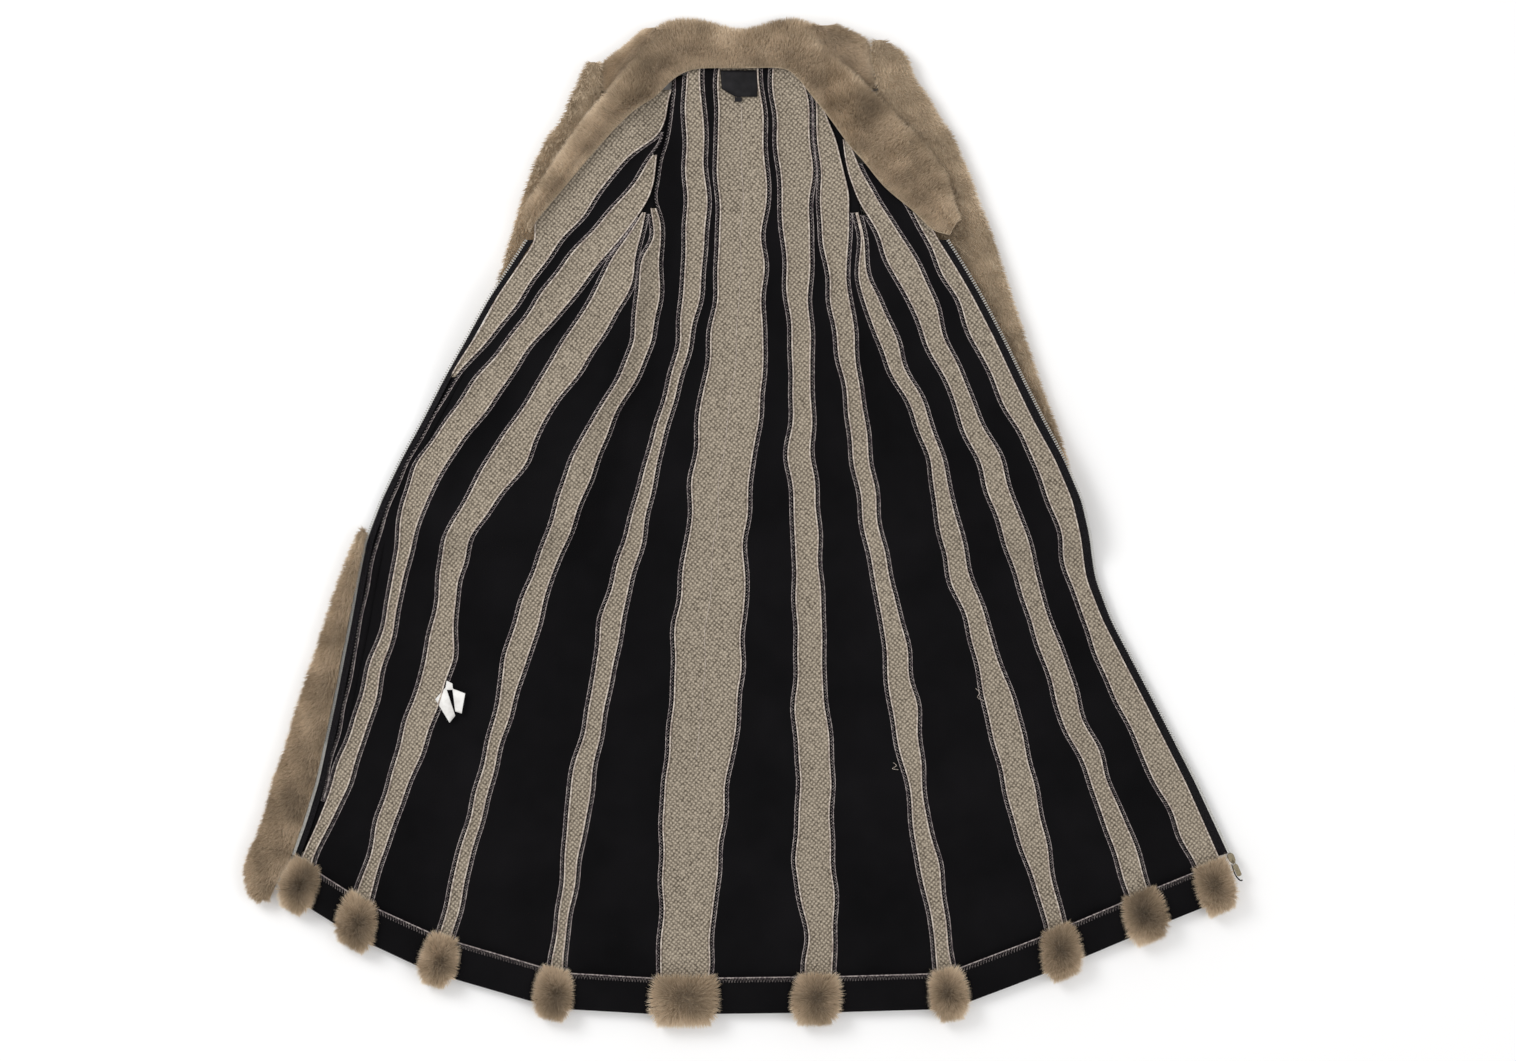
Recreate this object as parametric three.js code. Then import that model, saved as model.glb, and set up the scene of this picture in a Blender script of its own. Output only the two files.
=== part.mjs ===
// A long fur coat laid open and flat, its inside up and its fur side down.
// Millimetres. +X is to the right, +Y to the neck, +Z up from the floor.
// Fur strips on a knit backing alternate with thin jersey panels, and both turn up at the hem.
import * as THREE from 'three';

// Driving sizes
const FUR = 12;
const JERSEY = 2;
const SEAM_GAP = 0.3;
const SLEEVE_HEIGHT = 25;
const LIFT = 26;
const APRON = 60;
const SHELF = 14;
const TURN_UP = 48;
const FOLD_RADIUS = 1.2;
const TUFT_SPREAD = 8;
const JERSEY_INSET = 2.4;
const SAG_SHARE = 0.12;
const SAG_MOST = 8;
const TEETH_WIDTH = 5.6;
const TEETH_HEIGHT = 3;

// Heights along the body where every seam has a point. Below WARP_FROM they close up to the hem.
const LEVELS = [655, 627, 599, 571, 543, 515, 487, 459, 431, 403, 375, 347, 319, 291, 263, 235,
  207, 179, 151, 123, 95, 67, 39, 11, -17, -45, -73, -129, -185, -241, -300, -376, -452, -528, -604, -680];
const WARP_FROM = -300;
const WARP_TO = -680;
const LAST_LEVEL = -604;
const STRIP_COLUMNS = 2;
const JERSEY_COLUMNS = 4;

// The black fold edge of the hem
const HEM = [
  { x: -700, y: -478 }, { x: -615, y: -526 }, { x: -520, y: -591 }, { x: -374, y: -645 },
  { x: -246, y: -675 }, { x: -153, y: -680 }, { x: 17, y: -678 }, { x: 255, y: -675 },
  { x: 324, y: -662 }, { x: 423, y: -619 }, { x: 544, y: -568 }, { x: 689, y: -505 },
  { x: 740, y: -482 },
];

// Footprints of the two flattened sleeves, from the head to the cuff
const SLEEVES = {
  left: [
    { y: 644, left: -227, right: -203 }, { y: 627, left: -234, right: -202 },
    { y: 599, left: -248, right: -198 }, { y: 571, left: -260, right: -186 },
    { y: 539, left: -283, right: -167 }, { y: 511, left: -297, right: -153 },
    { y: 465, left: -314, right: -150 }, { y: 405, left: -332, right: -167 },
    { y: 319, left: -356, right: -190 }, { y: 263, left: -367, right: -206 },
    { y: 179, left: -383, right: -227 }, { y: 67, left: -400, right: -257 },
    { y: 18, left: -409, right: -268 },
  ],
  right: [
    { y: 675, left: 172, right: 198 }, { y: 655, left: 172, right: 223 },
    { y: 627, left: 177, right: 233 }, { y: 599, left: 180, right: 253 },
    { y: 567, left: 174, right: 272 }, { y: 542, left: 169, right: 289 },
    { y: 517, left: 164, right: 299 }, { y: 482, left: 163, right: 314 },
    { y: 449, left: 166, right: 325 }, { y: 407, left: 181, right: 342 },
    { y: 319, left: 211, right: 370 }, { y: 207, left: 253, right: 407 },
    { y: 95, left: 293, right: 446 }, { y: 11, left: 318, right: 454 },
  ],
};

// The shoulder parts between the collar and the sleeve heads
const SHOULDERS = {
  left: [
    { y: 694, left: -135, right: -125 }, { y: 686, left: -146, right: -131.5 },
    { y: 669, left: -166, right: -145.5 }, { y: 645, left: -196, right: -162.5 },
    { y: 625, left: -196, right: -177.5 }, { y: 612, left: -194, right: -187 },
  ],
  right: [
    { y: 697, left: 90, right: 125 }, { y: 683, left: 101, right: 158 },
    { y: 669, left: 110, right: 166 }, { y: 634, left: 141, right: 168 },
    { y: 615, left: 161, right: 170 },
  ],
};

// Seam lines, each from its top end down. at is the height and x the seam there.
const line = (...rows) => rows.map(([at, x]) => ({ at, x }));
const SEAMS = {
  tapeLeft: line([403, -294], [375, -312], [347, -330], [319, -349], [263, -380], [207, -413],
    [151, -443], [95, -474], [39, -501], [-17, -522], [-73, -533], [-129, -543], [-241, -565],
    [-353, -589], [-409, -606], [-465, -626], [-520, -645]),
  strip0Left: line([615, -118], [584, -162], [553, -194], [517, -226], [472, -264], [440, -290],
    [415, -300], [403, -294], [375, -312], [347, -330], [319, -349], [263, -380], [207, -413]),
  strip0Right: line([615, -106], [599, -111], [571, -113], [543, -128], [515, -163], [487, -191],
    [459, -212], [431, -232], [403, -258], [375, -276], [347, -296], [319, -315], [263, -359],
    [207, -407], [151, -443], [95, -474], [39, -501], [-17, -522], [-73, -533], [-129, -543],
    [-241, -565], [-353, -589], [-409, -606]),
  strip1Left: line([560, -115], [535, -121], [515, -133], [487, -149], [459, -174], [431, -201],
    [403, -223], [375, -246], [347, -267], [319, -290], [263, -330], [207, -376], [151, -415],
    [95, -458], [39, -480], [-17, -488], [-73, -498], [-129, -506], [-185, -526], [-241, -540],
    [-353, -577], [-409, -600], [-465, -625], [-520, -644]),
  strip1Right: line([520, -126], [487, -127], [459, -135], [431, -153], [403, -174], [375, -198],
    [347, -222], [319, -244], [263, -291], [207, -332], [151, -374], [95, -418], [39, -448],
    [-17, -467], [-73, -482], [-129, -493], [-185, -506], [-241, -520], [-353, -555],
    [-465, -608], [-520, -622]),
  strip2Left: line([440, -144], [403, -167], [375, -187], [347, -202], [319, -216], [263, -251],
    [207, -286], [151, -321], [95, -358], [39, -391], [-17, -421], [-73, -428], [-129, -437],
    [-185, -450], [-241, -465], [-353, -500], [-465, -530], [-540, -556]),
  strip2Right: line([440, -140], [403, -149], [375, -155], [347, -160], [319, -170], [263, -204],
    [207, -244], [151, -281], [95, -305], [39, -348], [-17, -386], [-73, -405], [-129, -409],
    [-185, -411], [-241, -430], [-353, -470], [-465, -513], [-540, -534]),
  strip3Left: line([448, -134], [403, -130], [375, -146], [347, -153], [319, -156], [263, -155],
    [207, -177], [151, -212], [95, -246], [39, -262], [-17, -279], [-73, -300], [-129, -323],
    [-185, -341], [-241, -346], [-353, -372], [-465, -405], [-600, -440]),
  strip3Right: line([600, -108], [571, -110], [539, -118], [515, -123], [487, -125], [459, -131],
    [446, -127], [431, -121], [403, -121], [319, -125], [263, -132], [207, -155], [151, -186],
    [95, -209], [39, -229], [-17, -253], [-73, -275], [-129, -290], [-185, -310], [-241, -327],
    [-353, -356], [-465, -387], [-600, -423]),
  strip4Left: line([650, -82], [599, -89], [487, -86], [403, -85], [319, -89], [263, -94],
    [207, -110], [95, -142], [-17, -169], [-129, -204], [-241, -219], [-353, -244], [-465, -254],
    [-577, -269], [-680, -285]),
  strip4Right: line([650, -66], [599, -65], [487, -58], [403, -59], [319, -66], [263, -79],
    [207, -97], [95, -127], [-17, -148], [-129, -174], [-241, -198], [-353, -216], [-465, -237],
    [-577, -253], [-680, -262]),
  strip5Left: line([650, -41], [487, -41], [403, -40], [319, -44], [207, -58], [95, -71],
    [-17, -82], [-129, -101], [-241, -103], [-353, -114], [-465, -118], [-577, -120],
    [-680, -121]),
  strip5Right: line([650, 16], [543, 23], [487, 26], [403, 23], [319, 22], [207, 22], [95, 5],
    [-17, -6], [-129, -5], [-241, -13], [-353, -30], [-465, -40], [-577, -52], [-680, -57]),
  strip6Left: line([650, 35], [599, 36], [487, 44], [403, 52], [319, 58], [207, 64], [95, 60],
    [-17, 68], [-129, 68], [-241, 68], [-353, 72], [-465, 66], [-577, 85], [-680, 78]),
  strip6Right: line([640, 66], [620, 80], [599, 84], [543, 90], [487, 90], [403, 86], [319, 85],
    [207, 89], [95, 89], [-17, 99], [-129, 103], [-241, 107], [-353, 117], [-465, 118],
    [-577, 120], [-680, 112]),
  strip7Left: line([610, 93], [575, 97], [543, 100], [487, 104], [403, 103], [347, 113],
    [319, 115], [207, 135], [95, 149], [-17, 167], [-129, 187], [-241, 198], [-353, 222],
    [-465, 240], [-577, 261], [-680, 272]),
  strip7Right: line([575, 112], [543, 124], [515, 132], [487, 137], [459, 143], [431, 141],
    [403, 139], [347, 139], [319, 144], [207, 155], [95, 173], [-17, 187], [-129, 212],
    [-241, 236], [-353, 243], [-465, 267], [-577, 281], [-680, 293]),
  strip8Left: line([440, 150], [403, 156], [347, 157], [319, 164], [263, 180], [207, 206],
    [151, 234], [95, 254], [-17, 269], [-129, 304], [-241, 332], [-353, 358], [-465, 391],
    [-521, 410], [-640, 436]),
  strip8Right: line([440, 154], [403, 160], [347, 170], [319, 183], [263, 206], [207, 227],
    [151, 252], [95, 271], [-17, 296], [-129, 330], [-241, 372], [-353, 400], [-465, 421],
    [-521, 433], [-640, 462]),
  strip9Left: line([524, 136], [487, 142], [459, 152], [431, 169], [403, 184], [375, 194],
    [347, 207], [319, 222], [263, 247], [207, 274], [151, 298], [95, 320], [-17, 359],
    [-129, 398], [-241, 429], [-353, 480], [-465, 517], [-600, 560]),
  strip9Right: line([524, 147], [487, 159], [459, 177], [431, 197], [403, 215], [375, 231],
    [347, 246], [319, 257], [263, 275], [207, 297], [151, 324], [95, 351], [-17, 388],
    [-129, 422], [-241, 461], [-353, 505], [-465, 548], [-600, 588]),
  strip10Left: line([500, 180], [472, 203], [459, 218], [445, 228], [431, 236], [403, 246],
    [375, 258], [347, 274], [319, 292], [263, 313], [207, 342], [151, 367], [95, 397],
    [39, 418], [-17, 437], [-73, 451], [-129, 468], [-241, 516], [-353, 569], [-465, 622],
    [-520, 640]),
  strip10Right: line([440, 246], [431, 250], [403, 263], [375, 281], [347, 298], [319, 314],
    [263, 343], [207, 369], [151, 396], [95, 427], [39, 451], [-17, 464], [-73, 474],
    [-129, 496], [-241, 554], [-353, 611], [-465, 661], [-520, 674]),
};

// Fur strips of the body: the height of the top end and where the strip stops, if not the hem
const STRIPS = [
  { name: 'fur_strip_zip_left', left: 'strip0Left', right: 'strip0Right', top: 612, stop: 210,
    columns: 5 },
  { name: 'fur_strip_front_left_outer', left: 'strip1Left', right: 'strip1Right', top: 518 },
  { name: 'fur_strip_front_left_inner', left: 'strip2Left', right: 'strip2Right', top: 438,
    columns: 3 },
  { name: 'fur_strip_side_left', left: 'strip3Left', right: 'strip3Right', top: 444 },
  { name: 'fur_strip_back_left', left: 'strip4Left', right: 'strip4Right', top: 645 },
  { name: 'fur_strip_back_centre', left: 'strip5Left', right: 'strip5Right', top: 650,
    columns: 3 },
  { name: 'fur_strip_back_right', left: 'strip6Left', right: 'strip6Right', top: 636 },
  { name: 'fur_strip_side_right', left: 'strip7Left', right: 'strip7Right', top: 575 },
  { name: 'fur_strip_front_right_inner', left: 'strip8Left', right: 'strip8Right', top: 438 },
  { name: 'fur_strip_front_right_outer', left: 'strip9Left', right: 'strip9Right', top: 520 },
  { name: 'fur_strip_zip_right', left: 'strip10Left', right: 'strip10Right', top: 438 },
];

// Jersey panels between the strips
const PANELS = [
  { name: 'jersey_zip_left', left: 'strip0Right', right: 'strip1Left', top: 552, stop: -430 },
  { name: 'jersey_front_left_outer', left: 'strip1Right', right: 'strip2Left', top: 431 },
  { name: 'jersey_front_left_inner', left: 'strip2Right', right: 'strip3Left', top: 436 },
  { name: 'jersey_side_left', left: 'strip3Right', right: 'strip4Left', top: 598 },
  { name: 'jersey_back_left', left: 'strip4Right', right: 'strip5Left', top: 648 },
  { name: 'jersey_back_right', left: 'strip5Right', right: 'strip6Left', top: 648 },
  { name: 'jersey_side_right', left: 'strip6Right', right: 'strip7Left', top: 606 },
  { name: 'jersey_front_right_inner', left: 'strip7Right', right: 'strip8Left', top: 438 },
  { name: 'jersey_front_right_middle', left: 'strip8Right', right: 'strip9Left', top: 434 },
  { name: 'jersey_front_right_outer', left: 'strip9Right', right: 'strip10Left', top: 488 },
];

// The zip: the line of its teeth on each side, from the collar to the hem
const TEETH = {
  left: line([403, -305], [375, -323], [347, -341], [319, -360], [263, -391], [207, -424],
    [151, -454], [95, -485], [39, -512], [-17, -533], [-73, -544], [-129, -554], [-241, -576],
    [-353, -600], [-409, -617], [-465, -637]),
  right: line([403, 276], [375, 294], [347, 311], [319, 327], [263, 356], [207, 383],
    [151, 411], [95, 441], [39, 465], [-17, 478], [-73, 488], [-129, 509], [-241, 568],
    [-353, 626], [-465, 678]),
};
const ZIP_TOP = 400;
const ZIP_FOOT_LEFT = -575;
const ZIP_FOOT_RIGHT = -575;

// The fur placket beyond the left zip
const PLACKET = [
  { y: -10, left: -541, right: -535.5 }, { y: -73, left: -567, right: -547.3 },
  { y: -129, left: -586, right: -557.3 }, { y: -185, left: -604, right: -568.3 },
  { y: -241, left: -624, right: -579.3 }, { y: -300, left: -641, right: -591.3 },
  { y: -353, left: -660, right: -603.3 }, { y: -409, left: -675, right: -620.3 },
  { y: -465, left: -698, right: -640.5 }, { y: -490, left: -699, right: -655 },
  { y: -508, left: -694, right: -664 }, { y: -518, left: -682, right: -668 },
];

// The collar band: its seam edge and its free edge, from the left zip round the neck to the right
const COLLAR = [
  { seamX: -302, seamY: 409, freeX: -308, freeY: 426 },
  { seamX: -289, seamY: 430, freeX: -303, freeY: 446 },
  { seamX: -254, seamY: 472, freeX: -275, freeY: 490 },
  { seamX: -216, seamY: 517, freeX: -246, freeY: 535 },
  { seamX: -184, seamY: 553, freeX: -220, freeY: 570 },
  { seamX: -152, seamY: 584, freeX: -195, freeY: 599 },
  { seamX: -128, seamY: 602, freeX: -167, freeY: 636 },
  { seamX: -103, seamY: 626, freeX: -142, freeY: 672 },
  { seamX: -83, seamY: 637, freeX: -117, freeY: 701 },
  { seamX: -60, seamY: 641, freeX: -72, freeY: 706 },
  { seamX: -10, seamY: 641, freeX: -10, freeY: 692 },
  { seamX: 46, seamY: 641, freeX: 48, freeY: 706 },
  { seamX: 68, seamY: 629, freeX: 85, freeY: 701 },
  { seamX: 90, seamY: 602, freeX: 115, freeY: 661 },
  { seamX: 113, seamY: 573, freeX: 143, freeY: 631 },
  { seamX: 141, seamY: 531, freeX: 180, freeY: 594 },
  { seamX: 162, seamY: 507, freeX: 209, freeY: 563 },
  { seamX: 191, seamY: 472, freeX: 240, freeY: 532 },
  { seamX: 229, seamY: 440, freeX: 269, freeY: 493 },
  { seamX: 256, seamY: 414, freeX: 280, freeY: 461 },
  { seamX: 280, seamY: 406, freeX: 291, freeY: 426 },
];
const COLLAR_SECTION = [
  { share: 0, high: 22 }, { share: 0.25, high: 25 }, { share: 0.5, high: 28 },
  { share: 0.8, high: 24 }, { share: 1, high: 14 },
];
const COLLAR_OVER_SEAM = { rise: 17, reach: 16, down: 2, by: 32 };

// Neck label, size tab and care tag, all bare
const LABEL = [[-38, 639], [14, 639], [14, 602], [-17, 602], [-36, 613]];
const SIZE_TAB = [[-18, 601.5], [-8, 601.5], [-8, 595], [-18, 595]];
const CARE_TAG = [[-420, -213], [-412, -217], [-411, -225], [-394, -231], [-399, -259],
  [-407, -256], [-408, -265], [-416, -272], [-436, -239], [-424, -230]];
const TAG_THICKNESS = 1;

// Slider and pull tab at the foot of the right zip
const SLIDER = { x: 675.7, y: -461.2, length: 15, width: 9, low: 9, high: 17 };
const PULL = { length: 22, width: 7.5, thickness: 2, low: 17.6, neck: 3 };
const ZIP_SLOPE = Math.atan2(-112, 51);

// Colours
const FINISH = {
  fur: { color: 0x96856f, roughness: 0.95, metalness: 0 },
  jersey: { color: 0x101012, roughness: 0.9, metalness: 0 },
  tape: { color: 0x1c1c20, roughness: 0.85, metalness: 0 },
  teeth: { color: 0xc6c6c4, roughness: 0.35, metalness: 1 },
  slider: { color: 0x9a8a62, roughness: 0.4, metalness: 1 },
  label: { color: 0x18181a, roughness: 0.8, metalness: 0 },
  tag: { color: 0xf2f0ec, roughness: 0.8, metalness: 0 },
};

const coat = new THREE.Group();

// Straight interpolation of a table in one column over another
function lookUp(rows, key, value, at) {
  const rising = rows[rows.length - 1][key] > rows[0][key];
  const past = (row) => (rising ? at > row[key] : at < row[key]);
  let index = 0;
  while (index < rows.length - 2 && past(rows[index + 1])) {
    index += 1;
  }
  const a = rows[index];
  const b = rows[index + 1];
  return a[value] + (b[value] - a[value]) * (at - a[key]) / (b[key] - a[key]);
}

const smooth = (t) => t * t * (3 - 2 * t);
const clamp = (t) => Math.min(1, Math.max(0, t));

// How far the sleeves beneath lift what lies at a place
function lift(x, y) {
  let most = 0;
  for (const rows of Object.values(SLEEVES)) {
    const inside = Math.min(rows[0].y, Math.max(rows[rows.length - 1].y, y));
    const left = lookUp(rows, 'y', 'left', inside);
    const right = lookUp(rows, 'y', 'right', inside);
    const away = Math.hypot(Math.max(left - x, x - right, 0), y - inside) - SHELF;
    most = Math.max(most, LIFT * (1 - smooth(clamp(away / APRON))));
  }
  return most;
}

// A seam's point at one of the shared levels
function seamPoint(seam, level) {
  let x = lookUp(seam, 'at', 'x', level);
  let y = level;
  if (level < WARP_FROM) {
    for (let pass = 0; pass < 6; pass += 1) {
      const foot = lookUp(HEM, 'x', 'y', x);
      y = WARP_FROM + (level - WARP_FROM) * (WARP_FROM - foot) / (WARP_FROM - WARP_TO);
      x = lookUp(seam, 'at', 'x', y);
    }
  }
  return new THREE.Vector2(x, y);
}

// A seam's point between two shared levels, on the straight line that joins them
function seamAt(seam, level) {
  const below = LEVELS.findIndex((each) => each <= level);
  if (LEVELS[below] === level) {
    return seamPoint(seam, level);
  }
  const share = (LEVELS[below - 1] - level) / (LEVELS[below - 1] - LEVELS[below]);
  return seamPoint(seam, LEVELS[below - 1]).lerp(seamPoint(seam, LEVELS[below]), share);
}

// A closed wall from stations, each with as many points on its upper face as on its lower one
function wall(stations) {
  const columns = stations[0].upper.length;
  const ring = columns * 2;
  const positions = [];
  const faces = [];
  for (const { upper, lower } of stations) {
    for (const point of [...upper, ...[...lower].reverse()]) {
      positions.push(point.x, point.y, point.z);
    }
  }
  const quad = (a, b, c, d) => faces.push(a, b, c, a, c, d);
  for (let row = 0; row < stations.length - 1; row += 1) {
    for (let k = 0; k < ring; k += 1) {
      const next = (k + 1) % ring;
      quad(row * ring + k, (row + 1) * ring + k, (row + 1) * ring + next, row * ring + next);
    }
  }
  const last = (stations.length - 1) * ring;
  for (let k = 0; k < columns - 1; k += 1) {
    const under = ring - 1 - k;
    quad(k, k + 1, under - 1, under);
    quad(last + k, last + under, last + under - 1, last + k + 1);
  }
  return solid(positions, faces);
}

// A geometry whose faces point out
function solid(positions, faces) {
  const geometry = new THREE.BufferGeometry();
  geometry.setAttribute('position', new THREE.Float32BufferAttribute(positions, 3));
  let volume = 0;
  const corner = (index) => new THREE.Vector3().fromArray(positions, index * 3);
  for (let k = 0; k < faces.length; k += 3) {
    const [a, b, c] = [corner(faces[k]), corner(faces[k + 1]), corner(faces[k + 2])];
    volume += a.dot(b.cross(c));
  }
  geometry.setIndex(volume > 0 ? faces : [...faces].reverse());
  geometry.computeVertexNormals();
  return geometry;
}

function add(name, geometry, finish) {
  const mesh = new THREE.Mesh(geometry, new THREE.MeshStandardMaterial(FINISH[finish]));
  mesh.name = name;
  coat.add(mesh);
  return mesh;
}

// Points across a piece from its left edge to its right one, at a height worked out for each
function across(left, right, columns, height) {
  return Array.from({ length: columns }, (_, k) => {
    const share = k / (columns - 1);
    const point = left.clone().lerp(right, share);
    return new THREE.Vector3(point.x, point.y, height(point.x, point.y, share));
  });
}

// Both edges of a piece moved in from the seam, or out
function moved(left, right, inset) {
  const side = right.clone().sub(left).normalize().multiplyScalar(inset);
  return [left.clone().add(side), right.clone().sub(side)];
}

// A body piece from its top end to the hem and round the fold. Its backing is up.
function bodyPiece({ left, right, top, stop }, thickness, columns, sag, spread, inset) {
  const seams = [SEAMS[left], SEAMS[right]];
  const foot = stop ?? WARP_TO;
  const levels = [top, ...LEVELS.filter((level) => level < top - 6 && level > foot + 6), foot];
  const stations = [];
  for (const level of levels) {
    const ends = seams.map((seam) => seamAt(seam, level));
    const ramp = level === WARP_TO ? 1 : 0;
    const [a, b] = moved(...ends, SEAM_GAP / 2 + (level <= LAST_LEVEL ? inset : 0));
    const [c, d] = moved(a, b, -spread * ramp);
    const depth = Math.min(SAG_MOST, a.distanceTo(b) * sag) * (1 - ramp);
    const face = (x, y, share) => lift(x, y) + FUR - depth * Math.sin(Math.PI * share);
    stations.push({
      upper: across(a, b, columns, face),
      lower: across(c, d, columns, (x, y, share) => face(x, y, share) - thickness),
    });
  }
  if (stop === undefined) {
    stations.push(...turnUp(seams, thickness, columns, spread, inset));
  }
  return wall(stations);
}

// The turned-up hem: half a turn about the fold line, then back over the piece
function turnUp(seams, thickness, columns, spread, inset) {
  const ends = seams.map((seam) => seamPoint(seam, WARP_TO));
  const ways = seams.map((seam, k) => ends[k].clone().sub(seamPoint(seam, LAST_LEVEL)).normalize());
  const centre = FUR + FOLD_RADIUS;
  const stations = [];
  const place = (out, reach, wide) => {
    const points = ends.map((end, k) => end.clone().addScaledVector(ways[k], reach));
    const [a, b] = moved(...points, SEAM_GAP / 2 + inset - wide);
    return across(a, b, columns, () => out);
  };
  const turns = 5;
  for (let k = 1; k <= turns; k += 1) {
    const angle = Math.PI * k / turns;
    const outer = FOLD_RADIUS + thickness;
    stations.push({
      upper: place(centre - FOLD_RADIUS * Math.cos(angle), FOLD_RADIUS * Math.sin(angle), 0),
      lower: place(centre - outer * Math.cos(angle), outer * Math.sin(angle), spread),
    });
  }
  for (const { back, full } of [{ back: 0.7, full: 0.9 }, { back: 1, full: 0.4 }]) {
    stations.push({
      upper: place(centre + FOLD_RADIUS, -TURN_UP * back, 0),
      lower: place(centre + FOLD_RADIUS + thickness * full, -TURN_UP * back, spread * full),
    });
  }
  return stations;
}

// A rounded double layer of fur from a table of rows
function slab(rows, height, edge) {
  return wall(rows.map(({ y, left, right }) => {
    const round = (share) => Math.pow(Math.sin(Math.PI * (0.12 + 0.76 * share)), 0.6);
    const a = new THREE.Vector2(left, y);
    const b = new THREE.Vector2(right, y);
    return {
      upper: across(a, b, 5, (x, yy, share) => edge + (height - edge) * round(share)),
      lower: across(a, b, 5, () => 0),
    };
  }));
}

// A flattened open tube along a table of rows
function sleeve(rows) {
  const sides = 12;
  const hollow = 1;
  const positions = [];
  const faces = [];
  const power = (value) => Math.sign(value) * Math.pow(Math.abs(value), 0.5);
  const tallest = power(Math.sin(Math.PI / 2 - Math.PI / sides));
  rows.forEach(({ y, left, right }) => {
    const half = (right - left) / 2;
    const outer = { wide: half, high: SLEEVE_HEIGHT / 2 };
    const inner = { wide: half - Math.min(FUR, (right - left) / 3), high: hollow };
    for (const { wide, high } of [outer, inner]) {
      for (let k = 0; k < sides; k += 1) {
        const angle = 2 * Math.PI * (k + 0.5) / sides;
        const x = (left + right) / 2 + wide * power(Math.cos(angle));
        const z = SLEEVE_HEIGHT / 2 + high * power(Math.sin(angle)) / tallest;
        positions.push(x, y, z);
      }
    }
  });
  const ring = sides * 2;
  const quad = (a, b, c, d) => faces.push(a, b, c, a, c, d);
  const last = (rows.length - 1) * ring;
  for (let k = 0; k < sides; k += 1) {
    const next = (k + 1) % sides;
    for (let row = 0; row < last; row += ring) {
      quad(row + k, row + next, row + ring + next, row + ring + k);
      quad(row + sides + k, row + ring + sides + k, row + ring + sides + next, row + sides + next);
    }
    quad(k, sides + k, sides + next, next);
    quad(last + k, last + next, last + sides + next, last + sides + k);
  }
  return solid(positions, faces);
}

// The collar: a soft double band of fur that lies on the seam and on what is beyond it
function collar() {
  return wall(COLLAR.map(({ seamX, seamY, freeX, freeY }) => {
    const seam = new THREE.Vector2(seamX, seamY);
    const free = new THREE.Vector2(freeX, freeY);
    const wide = seam.distanceTo(free);
    const { rise, reach, down, by } = COLLAR_OVER_SEAM;
    const low = (share) => rise + (down - rise) * clamp((share * wide - reach) / (by - reach));
    const upper = [];
    const lower = [];
    for (const { share, high } of COLLAR_SECTION) {
      const point = seam.clone().lerp(free, share);
      const base = lift(point.x, point.y);
      upper.push(new THREE.Vector3(point.x, point.y, base + Math.max(high, low(share) + 3)));
      lower.push(new THREE.Vector3(point.x, point.y, base + low(share)));
    }
    return { upper, lower };
  }));
}

// A thin plate from an outline, lying at a height
function plate(outline, low, thickness) {
  const shape = new THREE.Shape(outline.map(([x, y]) => new THREE.Vector2(x, y)));
  const geometry = new THREE.ExtrudeGeometry(shape, { depth: thickness, bevelEnabled: false });
  geometry.translate(0, 0, low);
  return geometry;
}

// A strip beside a line of zip teeth, from one offset to another and between two heights
function besideTeeth(teeth, from, to, foot, low, high, edge) {
  const levels = [ZIP_TOP, ...LEVELS.filter((level) => level < ZIP_TOP && level > foot + 6), foot];
  return wall(levels.map((level) => {
    const line = seamAt(teeth, level);
    const other = edge ? seamAt(edge, level) : line.clone().add(new THREE.Vector2(to, 0));
    const own = line.clone().add(new THREE.Vector2(from, 0));
    const [a, b] = own.x < other.x ? [own, other] : [other, own];
    if (edge) {
      a.x += a === other ? SEAM_GAP / 2 : 0;
      b.x -= b === other ? SEAM_GAP / 2 : 0;
    }
    return {
      upper: across(a, b, 2, (x, y) => lift(x, y) + high),
      lower: across(a, b, 2, (x, y) => lift(x, y) + low),
    };
  }));
}

function addBody() {
  for (const strip of STRIPS) {
    add(strip.name, bodyPiece(strip, FUR, strip.columns ?? STRIP_COLUMNS, 0, TUFT_SPREAD, 0), 'fur');
  }
  for (const panel of PANELS) {
    add(panel.name, bodyPiece(panel, JERSEY, JERSEY_COLUMNS, SAG_SHARE, 0, JERSEY_INSET), 'jersey');
  }
}

function addZip() {
  const half = TEETH_WIDTH / 2;
  const tapeLow = FUR - JERSEY;
  const { tapeLeft, strip10Right } = SEAMS;
  add('zip_tape_left', besideTeeth(TEETH.left, half, 0, ZIP_FOOT_LEFT, tapeLow, FUR, tapeLeft), 'tape');
  add('zip_tape_right', besideTeeth(TEETH.right, -half, 0, ZIP_FOOT_RIGHT, tapeLow, FUR, strip10Right), 'tape');
  const inner = half - SEAM_GAP;
  const high = tapeLow + TEETH_HEIGHT;
  add('zip_teeth_left', besideTeeth(TEETH.left, -inner, inner, ZIP_FOOT_LEFT, tapeLow, high), 'teeth');
  add('zip_teeth_right', besideTeeth(TEETH.right, -inner, inner, ZIP_FOOT_RIGHT, tapeLow, high), 'teeth');
}

// A rounded plate along X, from its start to its end
function roundedPlate(length, width, thickness, corner) {
  const shape = new THREE.Shape();
  const half = width / 2;
  shape.moveTo(corner, -half);
  shape.lineTo(length - corner, -half);
  shape.absarc(length - corner, -half + corner, corner, -Math.PI / 2, 0);
  shape.absarc(length - corner, half - corner, corner, 0, Math.PI / 2);
  shape.lineTo(corner, half);
  shape.absarc(corner, half - corner, corner, Math.PI / 2, Math.PI);
  shape.absarc(corner, -half + corner, corner, Math.PI, 1.5 * Math.PI);
  return new THREE.ExtrudeGeometry(shape, { depth: thickness, bevelEnabled: false, curveSegments: 3 });
}

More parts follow.
